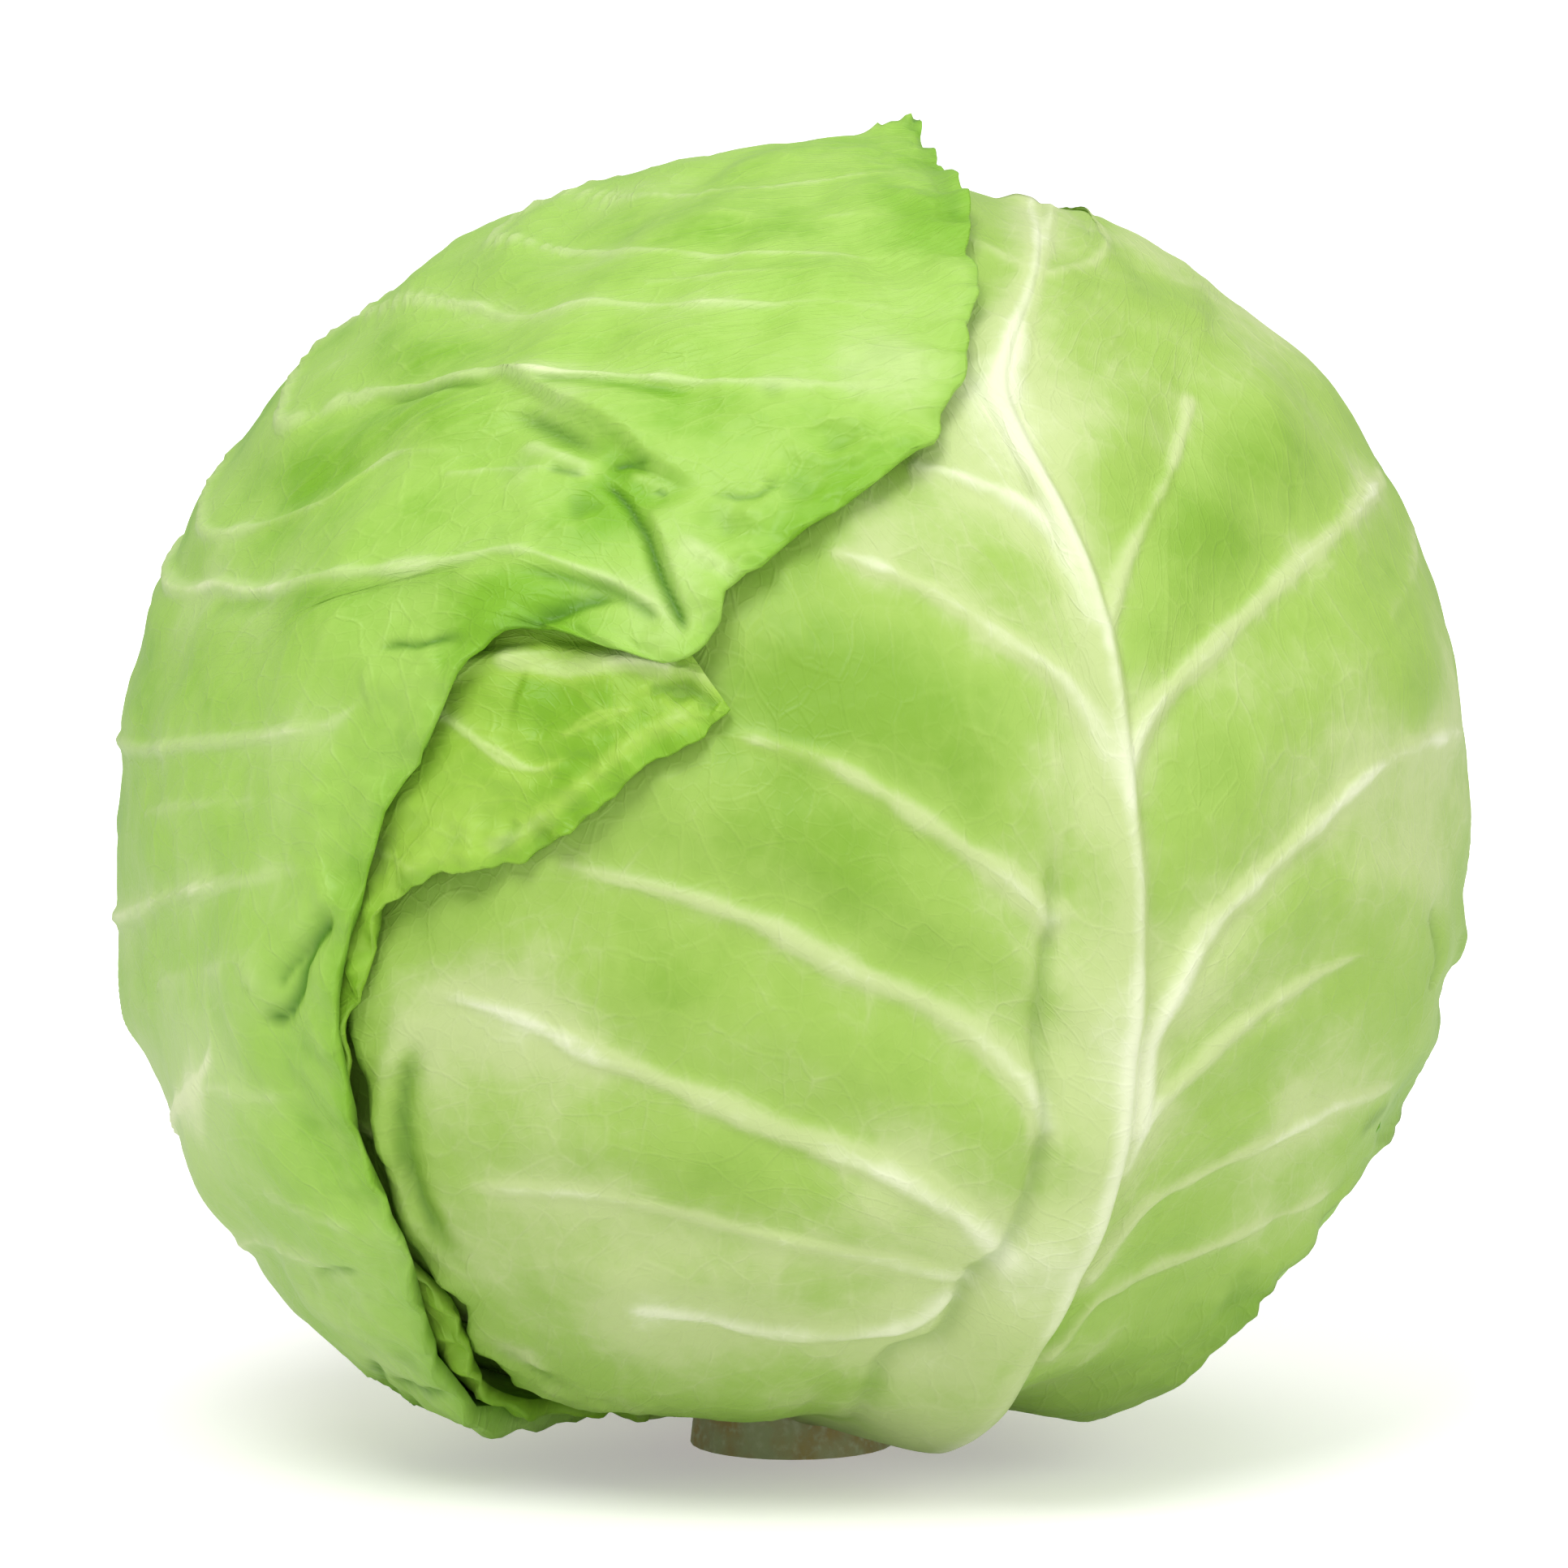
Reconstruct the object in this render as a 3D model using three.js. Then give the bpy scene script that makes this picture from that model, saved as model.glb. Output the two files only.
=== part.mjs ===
// A head of white cabbage, stood on its cut stem, in millimetres. +Z is up and -Y is the side that faces the viewer.
// A stump carries a heart of packed leaves, and five loose wrapper leaves lie over the heart, each on the ones below it.
// Every leaf is a closed blade over a net of directions from the head's centre. A row of the net runs along a pair of
// side veins, from the leaf's left margin over its rib to its right margin, and the rows go from the stem to the tip.

import * as THREE from "three";

// Driving dimensions.
const centreHeight = 86.5; // of the head's centre above the surface it stands on
const heartSide = 84.5; // half the heart's width
const heartTop = 79.8; // from the centre to the heart's top
const heartBottom = 79; // from the centre to the heart's underside, before the dimple
const lowerFullness = 2.45; // power of the outline below the centre, where 2 is an ellipse
const swells = [
  { azimuth: -95, latitude: -30, width: 30, height: 1.6 },
  { azimuth: -92, latitude: 18, width: 42, height: 2.4 },
  { azimuth: 72, latitude: -58, width: 20, height: 3.4 },
  { azimuth: 100, latitude: 34, width: 18, height: 1.8 },
  { azimuth: 92, latitude: 0, width: 26, height: -1.4 },
  { azimuth: -14, latitude: -66, width: 26, height: -3 },
];
const stemDimple = { depth: 6, from: 58, to: 80 };
const layerGap = 0.4; // least clear space under each leaf
const floorGap = 0.5; // between the leaves and the surface that the stump stands on
const drape = 0.035; // how fast a leaf sinks past the edge of what it lies on, per mm
const bladeThickness = 1.1;
const ribStep = 0.14; // share of a column between the rib's middle line and the mesh lines beside it
const stump = { footRadius: 13.6, topRadius: 12.2, height: 12.2, roundSides: 28 };
const heartFold = { depth: 1.3, turns: 5, twist: 1.4 };

// The near side's points are picked in the photograph, in its pixels, with the head's centre at viewCentre.
const viewCentre = [976, 985];
const pixelsPerMm = 9.29;
const viewTilt = 8; // degrees that the line of sight points down
const viewDistance = 1800;
const shownAboveHeart = 4; // mean height of the outermost leaves over the heart

// The pile of blades is mapped in this many cells a side, from points this far apart in mm.
const mapSide = 320;
const sampleStep = 0.9;

const radians = THREE.MathUtils.degToRad;
const clamp = THREE.MathUtils.clamp;
const smoothstep = THREE.MathUtils.smoothstep;
const centre = new THREE.Vector3(0, 0, centreHeight);

// The direction at an azimuth, 0 towards the viewer and 90 to the right, and a latitude, both in degrees.
function far(azimuth, latitude) {
  const a = radians(azimuth);
  const b = radians(latitude);
  return new THREE.Vector3(Math.sin(a) * Math.cos(b), -Math.cos(a) * Math.cos(b), Math.sin(b));
}

// The direction of a place near the top, seen from above: mm to the right of the middle and mm to the back.
function over(right, back) {
  const height = Math.sqrt(heartSide * heartSide - right * right - back * back);
  return new THREE.Vector3(right, back, height).normalize();
}

// Distance from the centre to the heart's smooth surface, with its low swells.
function heartReach(direction) {
  const below = direction.z < 0;
  const power = below ? lowerFullness : 2;
  const across = Math.hypot(direction.x, direction.y) / heartSide;
  const upright = Math.abs(direction.z) / (below ? heartBottom : heartTop);
  const reach = Math.pow(Math.pow(across, power) + Math.pow(upright, power), -1 / power);
  const depression = THREE.MathUtils.radToDeg(Math.asin(clamp(-direction.z, -1, 1)));
  const dimple = stemDimple.depth * smoothstep(depression, stemDimple.from, stemDimple.to);
  let swollen = reach - dimple;
  swells.forEach((swell) => {
    const towards = far(swell.azimuth, swell.latitude);
    const away = THREE.MathUtils.radToDeg(direction.angleTo(towards)) / swell.width;
    swollen += swell.height * Math.exp(-away * away);
  });
  return swollen;
}

// The direction of the point of the head that shows at a pixel, or of the outline nearest to it.
function near(column, line) {
  const tilt = radians(viewTilt);
  const up = new THREE.Vector3(0, Math.sin(tilt), Math.cos(tilt));
  const sight = new THREE.Vector3(0, Math.cos(tilt), -Math.sin(tilt));
  const target = up.clone().multiplyScalar((viewCentre[1] - line) / pixelsPerMm);
  target.x += (column - viewCentre[0]) / pixelsPerMm;
  const ray = target.clone().addScaledVector(sight, viewDistance).normalize();
  let inner = -target.dot(ray);
  let outer = inner - 2 * heartSide;
  const place = (along) => target.clone().addScaledVector(ray, along);
  const outside = (p) => p.length() > heartReach(p.clone().normalize()) + shownAboveHeart;
  if (outside(place(inner))) return place(inner).normalize();
  for (let halving = 0; halving < 30; halving++) {
    const middle = (inner + outer) / 2;
    if (outside(place(middle))) outer = middle;
    else inner = middle;
  }
  return place(inner).normalize();
}

// A leaf's net holds one list per row, from left margin to right margin. rib is the column that the rib lies on, ribBase
// its half width and height at the stem, and ribSkew how much wider its left flank is than its right. wave is the height
// of the left and right margin's ripple, scallop how far the margin draws back between ripples, in columns, and pillow
// how far the blade swells between veins. curls lift the margin at one place each.
const lowLeaf = {
  name: "leaf_low_front",
  ribSkew: 1,
  rib: 2,
  ribBase: [5, 3.2],
  wave: [0.5, 0.5],
  scallop: 0.1,
  pillow: 0.5,
  curls: [],
  steps: { row: 3, column: 2 },
  net: [
    [far(-29, -79), far(-23, -79), far(-16, -79), far(-9, -79), far(-3, -79)],
    [far(-62, -63), far(-42, -65), far(-18, -66), far(5, -65), far(25, -63)],
    [far(-70, -44), far(-45, -47), far(-18, -49), far(10, -47), far(34, -44)],
    [far(-64, -24), far(-42, -26), far(-18, -28), far(8, -26), far(30, -24)],
    [far(-36, -9), far(-28, -6), far(-18, -5), far(-8, -6), far(2, -9)],
  ],
};

const backLeaf = {
  name: "leaf_back",
  ribSkew: 1,
  rib: 2,
  ribBase: [7, 4.5],
  wave: [1.2, 1.2],
  scallop: 0.08,
  pillow: 1.1,
  curls: [],
  steps: { row: 4, column: 4 },
  net: [
    [far(100, -79), far(124, -79), far(150, -79), far(174, -79), far(198, -79)],
    [far(60, -63), far(108, -63), far(150, -63), far(184, -62), far(214, -60)],
    [far(66, -38), far(110, -42), far(150, -45), far(188, -42), far(224, -38)],
    [far(70, -12), far(110, -20), far(150, -25), far(190, -20), far(228, -12)],
    [far(68, 16), far(108, 6), far(150, -3), far(192, 6), far(230, 16)],
    [far(64, 42), far(106, 32), far(149, 19), far(194, 32), far(236, 42)],
    [far(54, 60), far(100, 54), far(147, 41), far(198, 54), far(248, 60)],
    [far(52, 67), far(95, 68), far(144, 62), far(200, 68), far(250, 67)],
    [far(48, 77), far(90, 80), far(140, 79), far(200, 80), far(250, 77)],
    [far(20, 84), far(0, 87), far(-30, 88), far(-70, 87), far(-95, 84)],
  ],
};

const ribLeaf = {
  name: "leaf_front_rib",
  ribSkew: 1.35,
  rib: 3,
  ribBase: [11, 5],
  wave: [0.6, 1.7],
  scallop: 0.1,
  pillow: 1.5,
  curls: [{ row: 3.7, side: 1, lift: 0.8, reach: 0.45 }, { row: 1.4, side: -1, lift: 1.5, reach: 0.5 }],
  steps: { row: 4, column: 3 },
  net: [
    [far(-18, -79), far(-3, -79), far(13, -79), far(30, -79), far(46, -79), far(62, -79), far(78, -79)],
    [far(-37, -64), far(-16, -64), far(8, -62), far(27, -60), far(37, -59), far(50, -59), far(70, -60)],
    [near(622, 1672), near(880, 1640), near(1115, 1640), near(1250, 1650), near(1350, 1600), near(1460, 1590), near(1570, 1590)],
    [near(500, 1470), near(850, 1500), near(1150, 1545), near(1300, 1570), near(1410, 1500), near(1540, 1450), near(1672, 1460)],
    [near(430, 1240), near(860, 1345), near(1170, 1465), near(1345, 1480), near(1450, 1400), near(1600, 1335), near(1735, 1360)],
    [near(400, 1010), near(900, 1120), near(1200, 1245), near(1385, 1330), near(1490, 1265), near(1640, 1185), near(1795, 1190)],
    [near(430, 760), near(960, 920), near(1235, 1075), near(1402, 1190), near(1490, 1160), near(1650, 1020), far(98, -3)],
    [near(600, 460), near(1010, 670), near(1255, 790), near(1392, 960), near(1480, 820), near(1630, 665), far(106, 22)],
    [near(800, 300), near(1110, 535), near(1262, 622), near(1350, 715), near(1440, 600), near(1480, 420), far(116, 46)],
    [over(-1, -14), over(13, -44), over(21, -50), over(27, -54), over(38, -42), over(50, -18), over(44, 22)],
    [over(4, -2), over(18, -22), over(25, -27), over(31, -29), over(38, -22), over(41, -8), over(34, 18)],
    [over(10, 9), over(20, 0), over(27, -6), over(33, -8), over(36, -4), over(36, 4), over(31, 15)],
  ],
};

const tuckedLeaf = {
  name: "leaf_left_tucked",
  ribSkew: 1,
  rib: 2,
  ribBase: [4, 3],
  wave: [0.2, 1.3],
  scallop: 0.14,
  pillow: 0.9,
  curls: [{ row: 2, side: 1, lift: 1.6, reach: 0.5 }],
  steps: { row: 4, column: 3 },
  net: [
    [far(-60, -79), far(-53, -79), far(-46, -79), far(-39, -79), far(-33, -79)],
    [far(-80, -69), far(-70, -70), far(-60, -71), far(-50, -71), far(-40, -72)],
    [far(-84, -52), far(-74, -54), far(-64, -56), far(-54, -57), far(-46, -58)],
    [near(300, 1500), near(380, 1540), near(445, 1570), near(505, 1592), near(556, 1612)],
    [near(220, 1350), near(290, 1370), near(345, 1380), near(395, 1392), near(444, 1402)],
    [near(180, 1150), near(250, 1180), near(325, 1190), near(395, 1215), near(454, 1285)],
    [near(190, 930), near(290, 965), near(390, 1000), near(455, 1060), near(500, 1113)],
    [near(300, 760), near(400, 810), near(500, 855), near(590, 920), near(652, 1072)],
    [near(450, 700), near(550, 755), near(660, 805), near(730, 880), near(770, 976)],
    [near(650, 700), near(710, 755), near(775, 812), near(808, 868), near(838, 930)],
    [near(838, 790), near(856, 812), near(872, 835), near(888, 857), near(903, 878)],
  ],
};

const wrapLeaf = {
  name: "leaf_left_wrap",
  ribSkew: 1,
  rib: 2,
  ribBase: [8, 5],
  wave: [1.2, 1.3],
  scallop: 0.16,
  pillow: 1.3,
  curls: [{ row: 12.8, side: 1, lift: 4, reach: 0.45 }, { row: 7, side: 1, lift: 1.2, reach: 0.5 }],
  steps: { row: 4, column: 4 },
  net: [
    [far(-150, -79), far(-134, -79), far(-118, -79), far(-104, -79), far(-92, -79), far(-80, -79), far(-68, -79)],
    [far(-168, -62), far(-142, -63), far(-112, -62), far(-96, -58), near(440, 1620), near(520, 1660), near(597, 1683)],
    [far(-176, -44), far(-146, -46), far(-113, -45), far(-97, -42), near(350, 1530), near(440, 1525), near(520, 1545)],
    [far(-180, -28), far(-150, -30), far(-115, -28), far(-98, -25), near(290, 1320), near(380, 1325), near(456, 1350)],
    [far(-184, -12), far(-152, -14), far(-118, -12), near(165, 1140), near(270, 1080), near(380, 1062), near(470, 1092)],
    [far(-186, 2), far(-154, 0), far(-122, 2), near(172, 960), near(290, 925), near(410, 912), near(540, 930)],
    [far(-187, 12), far(-156, 10), far(-125, 12), near(195, 830), near(340, 800), near(500, 748), near(650, 785)],
    [far(-188, 22), far(-157, 20), far(-127, 22), near(235, 722), near(430, 728), near(680, 690), near(848, 822)],
    [far(-190, 36), far(-160, 34), far(-132, 36), near(310, 610), near(530, 560), near(740, 590), near(945, 703)],
    [far(-192, 52), far(-166, 50), far(-140, 50), near(450, 478), near(700, 468), near(930, 475), near(1152, 545)],
    [far(-192, 65), far(-172, 63), far(-152, 62), near(560, 365), near(790, 384), near(1000, 390), near(1202, 410)],
    [far(-190, 73), far(-180, 72), far(-168, 71), near(690, 292), near(880, 316), near(1040, 320), near(1196, 318)],
    [over(9, 21), over(5, 21), over(-1, 20), over(-8, 2), over(1, -10), over(12, -13), over(21, -9.5)],
    [over(13, 15), over(13.5, 14), over(14, 13), over(14.5, 12), over(15, 10.5), over(15.5, 9), over(16, 7.4)],
  ],
};

// The net's point at a row and a column, which may lie between its own, as a unit vector.
function netPoint(net, row, column) {
  const across = net[0].map((unused, j) => {
    const along = new THREE.CatmullRomCurve3(net.map((line) => line[j]), false, "centripetal");
    return along.getPoint(clamp(row / (net.length - 1), 0, 1));
  });
  const rowCurve = new THREE.CatmullRomCurve3(across, false, "centripetal");
  return rowCurve.getPoint(clamp(column / (across.length - 1), 0, 1)).normalize();
}

// Where the mesh's lines run: on each net line, close beside it in the rows, and at even steps between.
const rowFractions = { 3: [0, 0.3, 0.7], 4: [0, 0.14, 0.5, 0.86] };
function stations(count, fractions) {
  const places = [];
  for (let k = 0; k < count - 1; k++) fractions.forEach((f) => places.push(k + f));
  return [...places, count - 1];
}

// Height of a rounded bar of a half width, at a distance from its middle line.
const bar = (distance, halfWidth) => 1 - smoothstep(distance / halfWidth, 0.35, 1.25);

// The height of the pile of blades over the heart's smooth surface, kept in cells by direction.
const pileCells = new Float32Array(mapSide * mapSide).fill(-3);
function cellOf(direction) {
  const { x, y, z } = direction;
  const sum = Math.abs(x) + Math.abs(y) + Math.abs(z);
  let u = x / sum;
  let v = y / sum;
  if (z < 0) [u, v] = [(1 - Math.abs(v)) * (u < 0 ? -1 : 1), (1 - Math.abs(u)) * (v < 0 ? -1 : 1)];
  const cell = (w) => Math.min(mapSide - 1, Math.floor((w * 0.5 + 0.5) * mapSide));
  return cell(v) * mapSide + cell(u);
}

// Calls visit for points spread over every triangle of a grid, with each point's direction, height and corners.
function sampleGrid(points, triangles, visit) {
  const point = new THREE.Vector3();
  const direction = new THREE.Vector3();
  triangles.forEach(([a, b, c]) => {
    const [pa, pb, pc] = [points[a], points[b], points[c]];
    const longest = Math.max(pa.distanceTo(pb), pb.distanceTo(pc), pc.distanceTo(pa));
    const parts = Math.max(1, Math.ceil(longest / sampleStep));
    for (let m = 0; m <= parts; m++) {
      for (let n = 0; n <= parts - m; n++) {
        const wb = m / parts;
        const wc = n / parts;
        point.copy(pa).multiplyScalar(1 - wb - wc).addScaledVector(pb, wb).addScaledVector(pc, wc);
        direction.copy(point).sub(centre);
        const reach = direction.length();
        direction.divideScalar(reach);
        visit(direction, reach - heartReach(direction), [a, b, c]);
      }
    }
  });
}

// Adds a face to the pile.
function addToPile(points, triangles) {
  sampleGrid(points, triangles, (direction, height) => {
    const cell = cellOf(direction);
    pileCells[cell] = Math.max(pileCells[cell], height);
  });
}

// Raises the heights of a face until no point of it is nearer to the pile than the layer gap.
function settle(directions, heights, triangles, floor) {
  const spots = [[0, 0, 0], [1, 0, 0], [-1, 0, 0], [0, 1, 0], [0, -1, 0], [0, 0, 1], [0, 0, -1]];
  const steps = spots.map((spot) => new THREE.Vector3(...spot).multiplyScalar(1 / heartSide));
  const beside = new THREE.Vector3();
  for (let pass = 0; pass < 5; pass++) {
    const points = directions.map((direction, n) => placeAt(direction, heights[n], floor));
    const raise = heights.map(() => 0);
    sampleGrid(points, triangles, (direction, height, corners) => {
      steps.forEach((step) => {
        const below = pileCells[cellOf(beside.copy(direction).add(step))];
        const short = below + layerGap - height;
        if (short > 0) corners.forEach((n) => (raise[n] = Math.max(raise[n], short)));
      });
    });
    raise.forEach((short, n) => (heights[n] += short));
  }
}

// Draws a blade taut over its own high places, so that it bridges narrow gaps.
function drawTaut(directions, heights) {
  return directions.map((direction) => {
    let height = -Infinity;
    directions.forEach((other, n) => {
      const apart = other.distanceTo(direction) * heartSide;
      height = Math.max(height, heights[n] - drape * apart * apart);
    });
    return height;
  });
}

// The point at a height over the heart in a direction, kept above the floor.
function placeAt(direction, height, floor) {
  const point = direction.clone().multiplyScalar(heartReach(direction) + height).add(centre);
  point.z = Math.max(point.z, floor);
  return point;
}

// Two triangles for each cell of a grid of points.
function gridTriangles(rowCount, columnCount) {
  const triangles = [];
  for (let i = 0; i < rowCount - 1; i++) {
    for (let j = 0; j < columnCount - 1; j++) {
      const a = i * columnCount + j;
      const c = a + columnCount + 1;
      triangles.push([a, a + 1, c], [a, c, a + columnCount]);
    }
  }
  return triangles;
}

// Sets out one leaf over the pile of what lies below it, and adds it to the pile.
function layLeaf(leaf, pile) {
  const lastRow = leaf.net.length - 1;
  const lastColumn = leaf.net[0].length - 1;
  const rows = stations(leaf.net.length, rowFractions[leaf.steps.row]);
  const evenSteps = [...Array(leaf.steps.column).keys()].map((n) => n / leaf.steps.column);
  const besideRib = [leaf.rib - ribStep, leaf.rib + ribStep];
  const columns = [...stations(leaf.net[0].length, evenSteps), ...besideRib].sort((a, b) => a - b);
  const ribPlace = columns.indexOf(leaf.rib);
  const ripple = (row, side) => 0.5 + 0.5 * Math.sin(2 * Math.PI * (row * 0.93 + 0.2 * side) + 1.7 * Math.sin(row * 1.3));
  const grid = rows.map((row) => columns.map((column) => {
    const drawn = leaf.scallop * (1 - ripple(row * 2.1, column ? 1 : -1));
    return netPoint(leaf.net, row, clamp(column, drawn, lastColumn - drawn));
  }));
  const spacing = (i, j) => {
    const last = Math.min(i + 1, rows.length - 1);
    const first = Math.max(i - 1, 0);
    return (grid[first][j].distanceTo(grid[last][j]) * heartSide) / (rows[last] - rows[first]);
  };

  const directions = [];
  const heights = [];
  const reliefs = [];
  rows.forEach((row, i) => {
    const along = row / lastRow;
    columns.forEach((column, j) => {
      const direction = grid[i][j];
      const side = column < leaf.rib ? -1 : 1;
      const out = Math.abs(column - leaf.rib) / (side < 0 ? leaf.rib : lastColumn - leaf.rib);
      const fromRib = direction.distanceTo(grid[i][ribPlace]) * heartSide;

      let lay = 0;
      pile.forEach((point) => {
        const apart = point.direction.distanceTo(direction) * heartSide;
        lay = Math.max(lay, point.height - drape * apart * apart);
      });

      const offEnds = smoothstep(along, 0, 0.08) * (1 - 0.7 * smoothstep(along, 0.92, 1));
      let lift = leaf.wave[side < 0 ? 0 : 1] * ripple(row, side) * smoothstep(out, 0.72, 1) * offEnds;
      leaf.curls.filter((curl) => curl.side === side).forEach((curl) => {
        const away = (row - curl.row) / curl.reach;
        lift += curl.lift * Math.exp(-away * away) * smoothstep(out, 0.8, 1);
      });
      const between = Math.sin(Math.PI * (row - Math.floor(row)));
      const inBlade = smoothstep(out, 0, 0.2) * (1 - smoothstep(out, 0.7, 1)) * offEnds;
      lift += leaf.pillow * between * between * inBlade;

      const ribHeight = leaf.ribBase[1] * Math.pow(1 - along, 0.9) + 0.2;
      const ribSkew = side < 0 ? leaf.ribSkew : 1 / leaf.ribSkew;
      const ribHalf = ribSkew * THREE.MathUtils.lerp(leaf.ribBase[0], 1.8, Math.pow(along, 0.7));
      const nearest = clamp(Math.round(row), 1, lastRow - 1);
      const vein = (1.3 - 0.9 * out) * bar(Math.abs(row - nearest) * spacing(i, j), 2.8 - 1.4 * out);
      directions.push(direction);
      heights.push(lay + layerGap + lift);
      reliefs.push(bladeThickness + Math.max(ribHeight * bar(fromRib, ribHalf), vein));
    });
  });

  const triangles = gridTriangles(rows.length, columns.length);
  settle(directions, heights, triangles, floorGap + bladeThickness);
  const taut = drawTaut(directions, heights);
  const inner = directions.map((direction, n) => placeAt(direction, taut[n], floorGap + bladeThickness));
  const outer = directions.map((direction, n) => placeAt(direction, taut[n] + reliefs[n], floorGap));
  addToPile(outer, triangles);
  directions.forEach((direction, n) => pile.push({ direction, height: taut[n] + bladeThickness }));
  return closedBlade(outer, inner, triangles, rows.length, columns.length);
}

// A closed blade from two like grids of points, split into triangles alike on both faces.
function closedBlade(outer, inner, triangles, rowCount, columnCount) {
  const back = outer.length;
  const index = [];
  triangles.forEach(([a, b, c]) => index.push(a, b, c, back + a, back + c, back + b));
  const rim = [];
  for (let j = 0; j < columnCount - 1; j++) rim.push(j);
  for (let i = 0; i < rowCount - 1; i++) rim.push(i * columnCount + columnCount - 1);
  for (let j = columnCount - 1; j > 0; j--) rim.push((rowCount - 1) * columnCount + j);
  for (let i = rowCount - 1; i > 0; i--) rim.push(i * columnCount);
  rim.forEach((from, n) => {
    const to = rim[(n + 1) % rim.length];
    index.push(from, back + from, back + to, from, back + to, to);
  });
  const geometry = new THREE.BufferGeometry().setFromPoints([...outer, ...inner]);
  geometry.setIndex(index);
  geometry.computeVertexNormals();
  return geometry;
}

// The heart: a ball of packed leaves whose margins stand out as steps that wind towards the top.
function heartGeometry() {
  const ball = new THREE.SphereGeometry(1, 44, 26).rotateX(Math.PI / 2);
  const position = ball.getAttribute("position");
  const direction = new THREE.Vector3();
  for (let n = 0; n < position.count; n++) {
    direction.fromBufferAttribute(position, n).normalize();
    const azimuth = Math.atan2(direction.x, -direction.y) / (2 * Math.PI);
    const turn = heartFold.turns * azimuth + heartFold.twist * direction.z;
    const step = turn - Math.floor(turn);
    const offPoles = Math.sqrt(Math.max(0, 1 - direction.z * direction.z));
    const sunk = heartFold.depth * (1 - step) * offPoles;
    direction.multiplyScalar(heartReach(direction) - sunk).add(centre);
    position.setXYZ(n, direction.x, direction.y, direction.z);
  }
  ball.deleteAttribute("uv");
  ball.computeVertexNormals();
  const points = [...Array(position.count).keys()].map((n) => new THREE.Vector3().fromBufferAttribute(position, n));
  const corners = [...ball.index.array];
  addToPile(points, corners.flatMap((a, n) => (n % 3 ? [] : [corners.slice(n, n + 3)])));
  return ball;
}

// The stump: a short cone of stem, cut flat below.
function stumpGeometry() {
  const profile = [
    new THREE.Vector2(0, 0),
    new THREE.Vector2(stump.footRadius, 0),
    new THREE.Vector2(stump.topRadius, stump.height),
    new THREE.Vector2(0, stump.height),
  ];
  return new THREE.LatheGeometry(profile, stump.roundSides).rotateX(Math.PI / 2);
}

const finish = (hex, roughness) => new THREE.MeshStandardMaterial({ color: hex, roughness, metalness: 0 });
const finishes = {
  stump: finish(0xc9b98a, 0.75),
  heart: finish(0xdbe6a8, 0.5),
  leaf_low_front: finish(0xa9c46a, 0.5),
  leaf_back: finish(0xb4d47c, 0.45),
  leaf_front_rib: finish(0xc2dc92, 0.42),
  leaf_left_tucked: finish(0x9dc943, 0.45),
  leaf_left_wrap: finish(0xa6d95f, 0.45),
};

const head = new THREE.Group();
function place(name, geometry) {
  const mesh = new THREE.Mesh(geometry, finishes[name]);
  mesh.name = name;
  head.add(mesh);
}

place("stump", stumpGeometry());
place("heart", heartGeometry());
const pile = [];
[lowLeaf, backLeaf, ribLeaf, tuckedLeaf, wrapLeaf].forEach((leaf) => place(leaf.name, layLeaf(leaf, pile)));

export default head;
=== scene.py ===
# A head of white cabbage for the looks: each CAD leaf is replaced by a finer blade over the same net of places.
# Lengths are in millimetres until a mesh is written.
import math

import bmesh
import bpy
import numpy as np
from numpy.linalg import norm
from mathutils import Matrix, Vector


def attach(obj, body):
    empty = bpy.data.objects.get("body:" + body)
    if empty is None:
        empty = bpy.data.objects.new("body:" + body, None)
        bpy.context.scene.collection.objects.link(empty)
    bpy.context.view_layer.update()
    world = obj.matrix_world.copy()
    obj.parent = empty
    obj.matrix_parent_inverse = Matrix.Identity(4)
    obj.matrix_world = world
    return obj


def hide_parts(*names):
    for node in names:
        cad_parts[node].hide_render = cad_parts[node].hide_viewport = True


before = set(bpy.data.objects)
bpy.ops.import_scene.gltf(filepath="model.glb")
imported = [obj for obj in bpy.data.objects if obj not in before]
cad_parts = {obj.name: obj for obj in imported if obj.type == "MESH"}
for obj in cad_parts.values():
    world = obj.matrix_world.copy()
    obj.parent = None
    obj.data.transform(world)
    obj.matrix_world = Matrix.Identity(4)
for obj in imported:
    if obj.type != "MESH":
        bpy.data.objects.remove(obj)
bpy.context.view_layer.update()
print("frame loaded:", sorted(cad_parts))

metresPerMm = 0.001

# the head's form, as the CAD has it
headForm = {
    "centre": np.array([0.0, 0.0, 86.5]),
    "side": 84.5,
    "top": 79.8,
    "bottom": 79.0,
    "lowerPower": 2.45,
    "dimpleDepth": 6.0,
    "dimpleFrom": 58.0,
    "dimpleTo": 80.0,
}
swells = [  # azimuth, latitude, width in degrees, height
    (-95, -30, 30, 1.6),
    (-92, 18, 42, 2.4),
    (72, -58, 20, 3.4),
    (100, 34, 18, 1.8),
    (92, 0, 26, -1.4),
    (-14, -66, 26, -3.0),
]
picture = {
    "size": 1932,  # pixels a side
    "middle": (976, 985),  # where the head's centre shows
    "pixelsPerMm": 9.29,
    "tilt": 8.0,  # degrees that the camera looks down
    "distance": 1800.0,
    "shownAboveHeart": 4.0,  # how far the outer skin lies over the heart
}


def smooth(x, low, high):
    t = np.clip((x - low) / (high - low), 0.0, 1.0)
    return t * t * (3 - 2 * t)


def far(azimuth, latitude):  # azimuth 0 faces the viewer, 90 the right
    a, b = math.radians(azimuth), math.radians(latitude)
    return np.array([math.sin(a) * math.cos(b), -math.cos(a) * math.cos(b), math.sin(b)])


def over(right, back):  # a place near the top, seen from above
    up = math.sqrt(headForm["side"] ** 2 - right**2 - back**2)
    return np.array([right, back, up]) / headForm["side"]


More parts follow.
